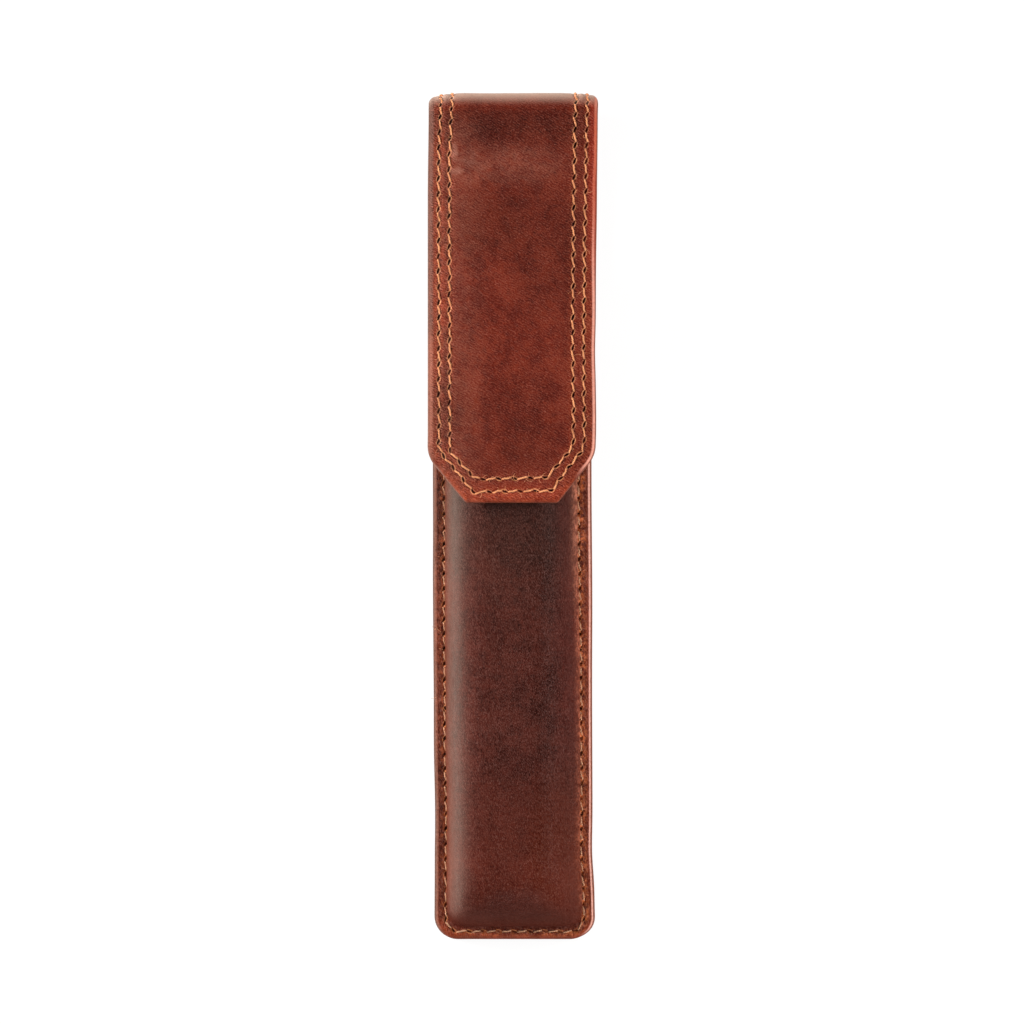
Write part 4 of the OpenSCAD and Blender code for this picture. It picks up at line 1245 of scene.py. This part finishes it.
def pocket_tone(g, col, x, y):
    """Painted shadow below the flap, painted shade on the right slope and on the slope down to the foot, redder towards
    the foot, painted light along the foot of the left wall, a painted gleam on the right wall near the flap, worn where
    the wall meets the seam, with painted light in the flecks on the right, and lighter along the foot's margin, part
    wear and part painted light.
    """
    k, d, inside = g.xyz(g.attr("rowa").outputs["Vector"])
    wall = g.attr("wall").outputs["Fac"]
    # painted shadow of the flap: greyer and darker just below its tip
    col = g.mix(col, lin(84, 66, 58), g.mul(g.step(y, -24.0, 0.0), 0.16))
    col = g.gain(col, g.step(y, -17.0, 2.5, 1.0, 0.66))
    # painted shade: the right slope of the pocket a little darker
    col = g.gain(col, g.sub(1.0, g.mul(g.mul(g.step(x, 1.0, 8.0), g.step(x, 12.0, 9.0)), 0.09)))
    col = g.mix(col, lin(120, 30, 20), g.mul(g.mul(g.step(x, 7.0, 11.0), g.step(y, -58.0, -36.0)), 0.11))
    # painted shade on the slope down to the foot
    col = g.gain(col, g.step(y, -70.5, -78.5, 1.0, 0.76))
    band = g.noise(g.vec(g.mul(x, 0.2), g.mul(y, 1.5), 3.0), 1.0, 3.0, 0.6)
    col = g.gain(col, g.add(1.0, g.mul(g.step(band, 0.35, 0.65, -1.0, 1.0), g.step(y, -40.0, -60.0, 0.065, 0.125))))
    col = g.mix(col, lin(112, 42, 22), g.mul(g.step(y, -40.0, -70.0), 0.27))
    col = g.gain(col, g.sub(1.0, g.mul(g.step(y, -43.0, -54.0), g.step(y, -64.0, -72.0, 0.13, 0.06))))
    # along the foot of the wall: painted light, evenly on the left; on the right rubbed flecks that also carry painted
    # light; most of all near the flap
    fleck = g.step(g.noise(g.vec(g.mul(x, 1.5), g.mul(y, 1.0), g.mul(wall, 0.8)), 1.0, 3.0, 0.7, 0.4), 0.39, 0.66)
    right, left = g.step(x, 4.0, 12.0), g.step(x, -7.0, -11.0)
    sides = g.step(y, -78.5, -72.0)
    clear_of_flap = g.step(y, 15.0, 5.0)                  # the flap shades what lies under it, and nothing rubs it there
    reach = g.mul(g.mul(g.step(d, 0.05, 0.5), sides), g.add(0.35, g.mul(clear_of_flap, 0.65)))
    # painted light on the foot of the left wall
    col = g.mix(col, lin(166, 94, 70), g.mul(g.mul(reach, left), g.step(wall, 6.0, 0.4, 0.0, 0.21)))
    patchy = g.step(g.noise(g.vec(g.mul(x, 0.5), g.mul(y, 0.42), 11.0), 1.0, 3.0, 0.65, 0.5), 0.36, 0.64)
    # rubbed flecks on the foot of the right wall, lightened further as painted light
    rub_and_painted_light = g.mul(g.step(y, -52.0, -38.0, 0.7, 1.0), g.mul(g.step(fleck, 0.0, 1.0, 0.16, 0.72), g.step(patchy, 0.0, 1.0, 0.55, 1.3)))
    col = g.mix(col, lin(186, 106, 80), g.mul(g.mul(g.mul(reach, right), g.step(wall, 4.8, 0.3)), rub_and_painted_light))
    # painted gleam on the right wall just below the flap
    gleam = g.mul(g.mul(g.mul(g.step(wall, 6.6, 0.8), reach), right), g.mul(g.mul(g.step(y, -24.0, -4.0), clear_of_flap), g.step(fleck, 0.0, 1.0, 0.25, 1.0)))
    col = g.mix(col, lin(212, 142, 114), g.mul(gleam, 0.28))
    seam = g.mul(g.step(g.m("ABSOLUTE", g.add(d, 0.3)), 0.95, 0.25), fleck)
    col = g.mix(col, g.mix(lin(212, 116, 72), lin(216, 122, 76), right), g.mul(g.mul(seam, g.add(0.3, g.mul(right, 0.42))), g.step(patchy, 0.0, 1.0, 0.7, 1.35)))
    margin = g.mul(g.step(d, -0.1, -0.6), g.step(d, -20.0, -12.0))
    foot = g.step(y, -77.0, -79.6)
    # lighter along the foot's margin and a little on the right margin: part wear, part painted light
    col = g.mix(col, lin(168, 76, 48), g.mul(margin, g.add(g.mul(foot, 0.3), g.mul(g.mul(right, g.sub(1.0, foot)), 0.1))))
    col = g.gain(col, g.sub(1.0, g.mul(g.mul(g.mul(margin, left), g.step(y, -40.0, -52.0)), g.mul(sides, 0.26))))
    col = g.gain(col, g.add(1.0, g.mul(margin, g.mul(g.sub(patchy, 0.5), 0.34))))
    # darker patches of uneven tone; the one at (-9.5, -73) is painted shade where the left wall turns round the foot
    for cx, cy, rx, ry, f in ((-5.5, -73.0, 6.5, 7.0, -0.14), (-6.5, -60.0, 6.0, 9.0, -0.08), (1.0, -9.0, 9.0, 9.0, -0.06), (6.5, -62.0, 6.0, 14.0, -0.1), (-9.5, -73.0, 3.5, 6.0, -0.25)):
        col = g.gain(col, g.add(1.0, g.mul(patch(g, x, y, cx, cy, rx, ry), f)))
    col = g.mix(col, lin(130, 54, 26), g.mul(patch(g, x, y, 8.5, -65.0, 7.5, 17.0), 0.14))
    return col


def flap_edges(g, col, x, y, edge):
    """The turned edge: a painted highlight line along the right, a soft painted sheen along the left, and the cut side
    below, with painted light on its right and painted shade on its upper left.
    """
    n = g.noise(g.vec(g.mul(x, 0.3), g.mul(y, 2.2), 7.0), 1.0, 2.0, 0.6)
    up = g.mul(g.step(y, 42.0, 66.0), g.step(y, 77.0, 82.0, 1.0, 0.6))
    inward = g.mul(g.step(y, 40.0, 54.0), g.step(y, 70.0, 64.0))
    # painted highlight: a pale line along the rounding of the right edge
    line = g.mul(g.step(g.m("ABSOLUTE", g.sub(edge, g.add(0.46, g.mul(inward, 0.2)))), 0.36, 0.12), g.step(y, 94.0, 89.0))
    right = g.step(x, 13.6, 15.4)
    pale = g.mix(lin(226, 156, 136), lin(188, 92, 66), up)
    col = g.mix(col, pale, g.mul(g.mul(line, g.step(x, 12.0, 15.4)), g.step(n, 0.25, 0.6, 0.68, 0.9)))
    left = g.step(x, -13.0, -15.4)
    col = g.gain(col, g.sub(1.0, g.mul(g.mul(g.step(edge, 1.9, 0.2), left), 0.42)))
    # painted sheen: a soft greyish line along the rounding of the left edge, paler lower down
    ridge = g.mul(g.mul(g.step(edge, 0.22, 0.46), g.step(edge, 1.35, 0.75)), left)
    col = g.mix(col, lin(110, 76, 66), g.mul(g.mul(ridge, g.step(y, 32.0, 38.0)), g.step(n, 0.25, 0.6, 0.45, 0.75)))
    col = g.mix(col, lin(160, 100, 82), g.mul(g.mul(ridge, g.mul(g.step(y, 38.0, 33.0), g.step(y, 10.0, 15.0))), g.step(n, 0.25, 0.6, 0.35, 0.6)))
    side = g.step(g.sub(edge, g.mul(left, 0.08)), 0.3, 0.12)
    # the cut side is brown; painted light makes it lighter on the right, and painted shade darker on the upper left
    raw = g.mix(lin(92, 46, 33), lin(128, 72, 54), n)
    raw = g.mix(raw, lin(158, 98, 78), g.mul(right, 0.4))
    raw = g.gain(raw, g.sub(1.0, g.mul(g.mul(left, g.step(y, 32.0, 38.0)), 0.55)))
    return g.mix(col, raw, g.mul(side, 0.8))


def pocket_edges(g, col, x, y, edge):
    n = g.noise(g.vec(g.mul(x, 0.3), g.mul(y, 2.2), 7.0), 1.0, 2.0, 0.6)
    line = g.step(g.m("ABSOLUTE", g.sub(edge, 0.28)), 0.24, 0.08)
    right = g.step(x, 12.5, 15.0)
    # painted light on the right edge: lighter near it towards the top, and a painted highlight line along its rounding
    col = g.gain(col, g.add(1.0, g.mul(g.mul(g.step(edge, 1.1, 0.6), right), g.mul(g.step(y, -47.0, -38.0), 0.2))))
    col = g.mix(col, lin(232, 170, 152), g.mul(g.mul(line, right), g.step(n, 0.25, 0.6, 0.6, 0.85)))
    left = g.step(x, -13.0, -14.6)
    col = g.gain(col, g.sub(1.0, g.mul(g.mul(g.step(edge, 0.9, 0.1), left), 0.3)))
    # a faint painted sheen line along the rounding of the left edge
    col = g.mix(col, lin(176, 116, 95), g.mul(g.mul(g.step(g.m("ABSOLUTE", g.sub(edge, 0.34)), 0.26, 0.06), left), g.step(n, 0.25, 0.6, 0.12, 0.34)))
    side = g.step(edge, 0.14, 0.04)
    raw = g.mix(lin(96, 50, 38), lin(134, 80, 62), n)
    return g.mix(col, raw, g.mul(side, 0.8))


mat_outer = leather("outer_leather", outer_palette, [("rowa", row_a, 0.85), ("rowb", row_b, 0.8)], 31, 1.35, margin=0.45, hair=0.23, streak=0.4, shade_at=flap_tone, edge_at=flap_edges)
mat_pocket = leather("pocket_leather_skin", pocket_palette, [("rowa", row_s, 1.0), ("rowb", row_m, 0.5)], 72, 2.6, margin=0.5, between=0.36, shade_at=pocket_tone, edge_at=pocket_edges)


def suede():
    g = Graph("lining_suede")
    n = g.t.nodes.new("ShaderNodeTexCoord")
    p = g.gain(n.outputs["Object"], 1000.0)
    nap = g.noise(p, 1.6, 4.0, 0.65, 0.4)
    big = g.noise(p, 0.16, 2.0, 0.5)
    col = g.mix(lin(118, 78, 54), lin(160, 112, 80), g.step(nap, 0.3, 0.7))
    col = g.mix(col, lin(102, 66, 46), g.mul(g.step(big, 0.45, 0.7), 0.45))
    nrm = g.bump(g.noise(p, 5.0, 3.0, 0.7), 0.00008)
    return g.shade(col, 0.88, nrm, Sheen_Weight=0.25, Sheen_Roughness=0.5)


def yarn(name, low, high, dull_and_shade):
    g = Graph(name)
    tint, run, up = g.xyz(g.attr("yarn").outputs["Vector"])
    fibres = g.noise(g.vec(g.mul(tint, 40.0), g.mul(run, 3.0), g.mul(up, 14.0)), 1.6, 3.0, 0.65)
    col = g.mix(low, high, g.step(fibres, 0.32, 0.68))
    col = g.mix(col, dull_and_shade, g.mul(g.step(tint, 0.55, 1.0), 0.5))
    # painted shade: each ply fades to the dull colour on its underside, towards the leather
    col = g.mix(dull_and_shade, col, g.step(up, 0.05, 0.5, 0.2, 1.0))
    nrm = g.bump(fibres, 0.00004)
    return g.shade(col, 0.72, nrm, Sheen_Weight=0.2)


mat_thread = yarn("thread_flap", lin(200, 114, 68), lin(250, 182, 128), lin(160, 86, 50))
mat_thread_body = yarn("thread_body", lin(168, 112, 80), lin(236, 182, 144), lin(112, 76, 56))
mat_suede = suede()


def plain(name, a, b, rough, metal=0.0, scale=0.8):
    g = Graph(name)
    n = g.t.nodes.new("ShaderNodeTexCoord")
    p = g.gain(n.outputs["Object"], 1000.0)
    f = g.noise(p, scale, 3.0, 0.6)
    nrm = g.bump(f, 0.00002)
    return g.shade(g.mix(a, b, f), rough, nrm, Metallic=metal)


mat_board = plain("board", lin(128, 104, 76), lin(150, 124, 92), 0.9)
mat_magnet = plain("magnet", lin(176, 174, 170), lin(198, 196, 190), 0.28, 1.0)

for ob, mat in ((flap_leather, mat_outer), (back_leather, mat_outer), (pocket, mat_pocket), (flap_lining, mat_suede),
                (back_lining, mat_suede), (pocket_lining, mat_suede), (flap_edge_stitches, mat_thread), (flap_inner_stitches, mat_thread),
                (rear_edge_stitches, mat_thread), (rear_inner_stitches, mat_thread), (seam_stitches, mat_thread_body), (mouth_stitches, mat_thread_body), (flap_fibres, mat_thread), (seam_fibres, mat_thread)):
    ob.data.materials.append(mat)

# ---------------------------------------------------------------- bodies
for ob in (back_leather, back_lining, rear_edge_stitches, rear_inner_stitches):
    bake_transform(ob)
for ob in (flap_leather, flap_lining, flap_edge_stitches, flap_inner_stitches, flap_fibres):
    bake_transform(ob)
for ob in (pocket, pocket_lining, seam_stitches, mouth_stitches, seam_fibres):
    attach(ob, "case")
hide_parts("back_panel", "rear_fold", "bridge_panel")
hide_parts("flap_panel", "front_fold", "bridge_panel")
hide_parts("back_lining", "rear_fold_lining", "bridge_lining")
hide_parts("flap_lining", "front_fold_lining", "bridge_lining")
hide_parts("front_panel")
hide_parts("front_lining")
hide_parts("rear_fold_thread", "bridge_thread")
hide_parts("back_row_thread")
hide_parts("flap_outer_thread", "front_fold_thread", "bridge_thread")
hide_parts("flap_inner_thread")
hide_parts("body_seam_thread")
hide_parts("mouth_thread")
for node, mat in (("back_stiffener", mat_board), ("flap_stiffener", mat_board), ("pocket_magnet", mat_magnet), ("flap_magnet", mat_magnet)):
    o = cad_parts[node]
    for s in o.material_slots:
        s.material = mat
    if not o.material_slots:
        o.data.materials.append(mat)

# ---------------------------------------------------------------- floor, light, camera
bpy.ops.mesh.primitive_plane_add(size=6.0, location=(0, 0, -0.00035))
floor = bpy.context.object
floor.name = "floor"
g = Graph("floor_paper")
n = g.t.nodes.new("ShaderNodeTexCoord")
tone = g.noise(n.outputs["Object"], 2.0, 1.0)
dif = g.t.nodes.new("ShaderNodeBsdfDiffuse")
g.put(dif.inputs[0], g.mix((0.86, 0.86, 0.86, 1), (0.88, 0.88, 0.88, 1), tone))
emi = g.t.nodes.new("ShaderNodeEmission")
emi.inputs[1].default_value = 1.06
mixs = g.t.nodes.new("ShaderNodeMixShader")
mixs.inputs[0].default_value = 0.86
g.t.links.new(dif.outputs[0], mixs.inputs[1])
g.t.links.new(emi.outputs[0], mixs.inputs[2])
g.t.links.new(mixs.outputs[0], g.out.inputs[0])
floor.data.materials.append(g.mat)
floor.visible_glossy = False

world = bpy.data.worlds.new("studio")
bpy.context.scene.world = world
world.use_nodes = True
wt = world.node_tree
wt.nodes.clear()
wo = wt.nodes.new("ShaderNodeOutputWorld")
bg = wt.nodes.new("ShaderNodeBackground")
tc = wt.nodes.new("ShaderNodeTexCoord")
w = Graph.__new__(Graph)
w.t = wt
dx, dy, dz = w.xyz(tc.outputs["Generated"])
# light comes from the left and the head; overhead it is dim, and straight below it is as bright as the table
turn = w.step(w.add(w.mul(dx, -0.9), w.mul(dy, 0.5)), -0.2, 0.8)
low = w.mul(w.step(dz, 0.08, -0.66), w.step(dz, -1.0, -0.94))
level = w.add(w.mul(w.mul(turn, low), 2.5), w.mul(w.step(dz, -0.85, -0.99), 1.0))
level = w.add(level, 0.11)
wt.links.new(level, bg.inputs[1])
bg.inputs[0].default_value = (1.0, 0.80, 0.65, 1)
wt.links.new(bg.outputs[0], wo.inputs[0])


def softbox(name, at, size, power, aim=(0, 0, 0.01), tint=(1, 1, 1), glossy=False):
    from mathutils import Vector
    li = bpy.data.lights.new(name, "AREA")
    li.shape, li.size, li.energy, li.color = "DISK", size, power, tint
    ob = bpy.data.objects.new(name, li)
    ob.location = at
    ob.rotation_euler = (Vector(aim) - Vector(at)).to_track_quat("-Z", "Y").to_euler()
    ob.visible_glossy = glossy
    bpy.context.scene.collection.objects.link(ob)


softbox("overhead_softbox", (0.0, 0.1, 1.2), 1.0, 3.0)
softbox("key_softbox", (-0.88, 0.34, 0.36), 0.5, 17.0)
softbox("fill_softbox", (0.9, 0.1, 0.34), 0.5, 8.0)
softbox("foot_softbox", (0.1, -0.95, 0.36), 0.5, 6.0)

cam = bpy.data.cameras.new("camera")
cam.sensor_width, cam.lens = 36.0, 36.0 * 5.0 / 0.1999
cam.clip_start, cam.clip_end = 0.05, 20
co = bpy.data.objects.new("camera", cam)
co.location = (0.0, 0.00084, 5.0 + 0.007)
co.rotation_euler = (0, 0, 0)
bpy.context.scene.collection.objects.link(co)
bpy.context.scene.camera = co
bpy.context.scene.view_settings.view_transform = "Standard"
bpy.context.scene.view_settings.look = "None"
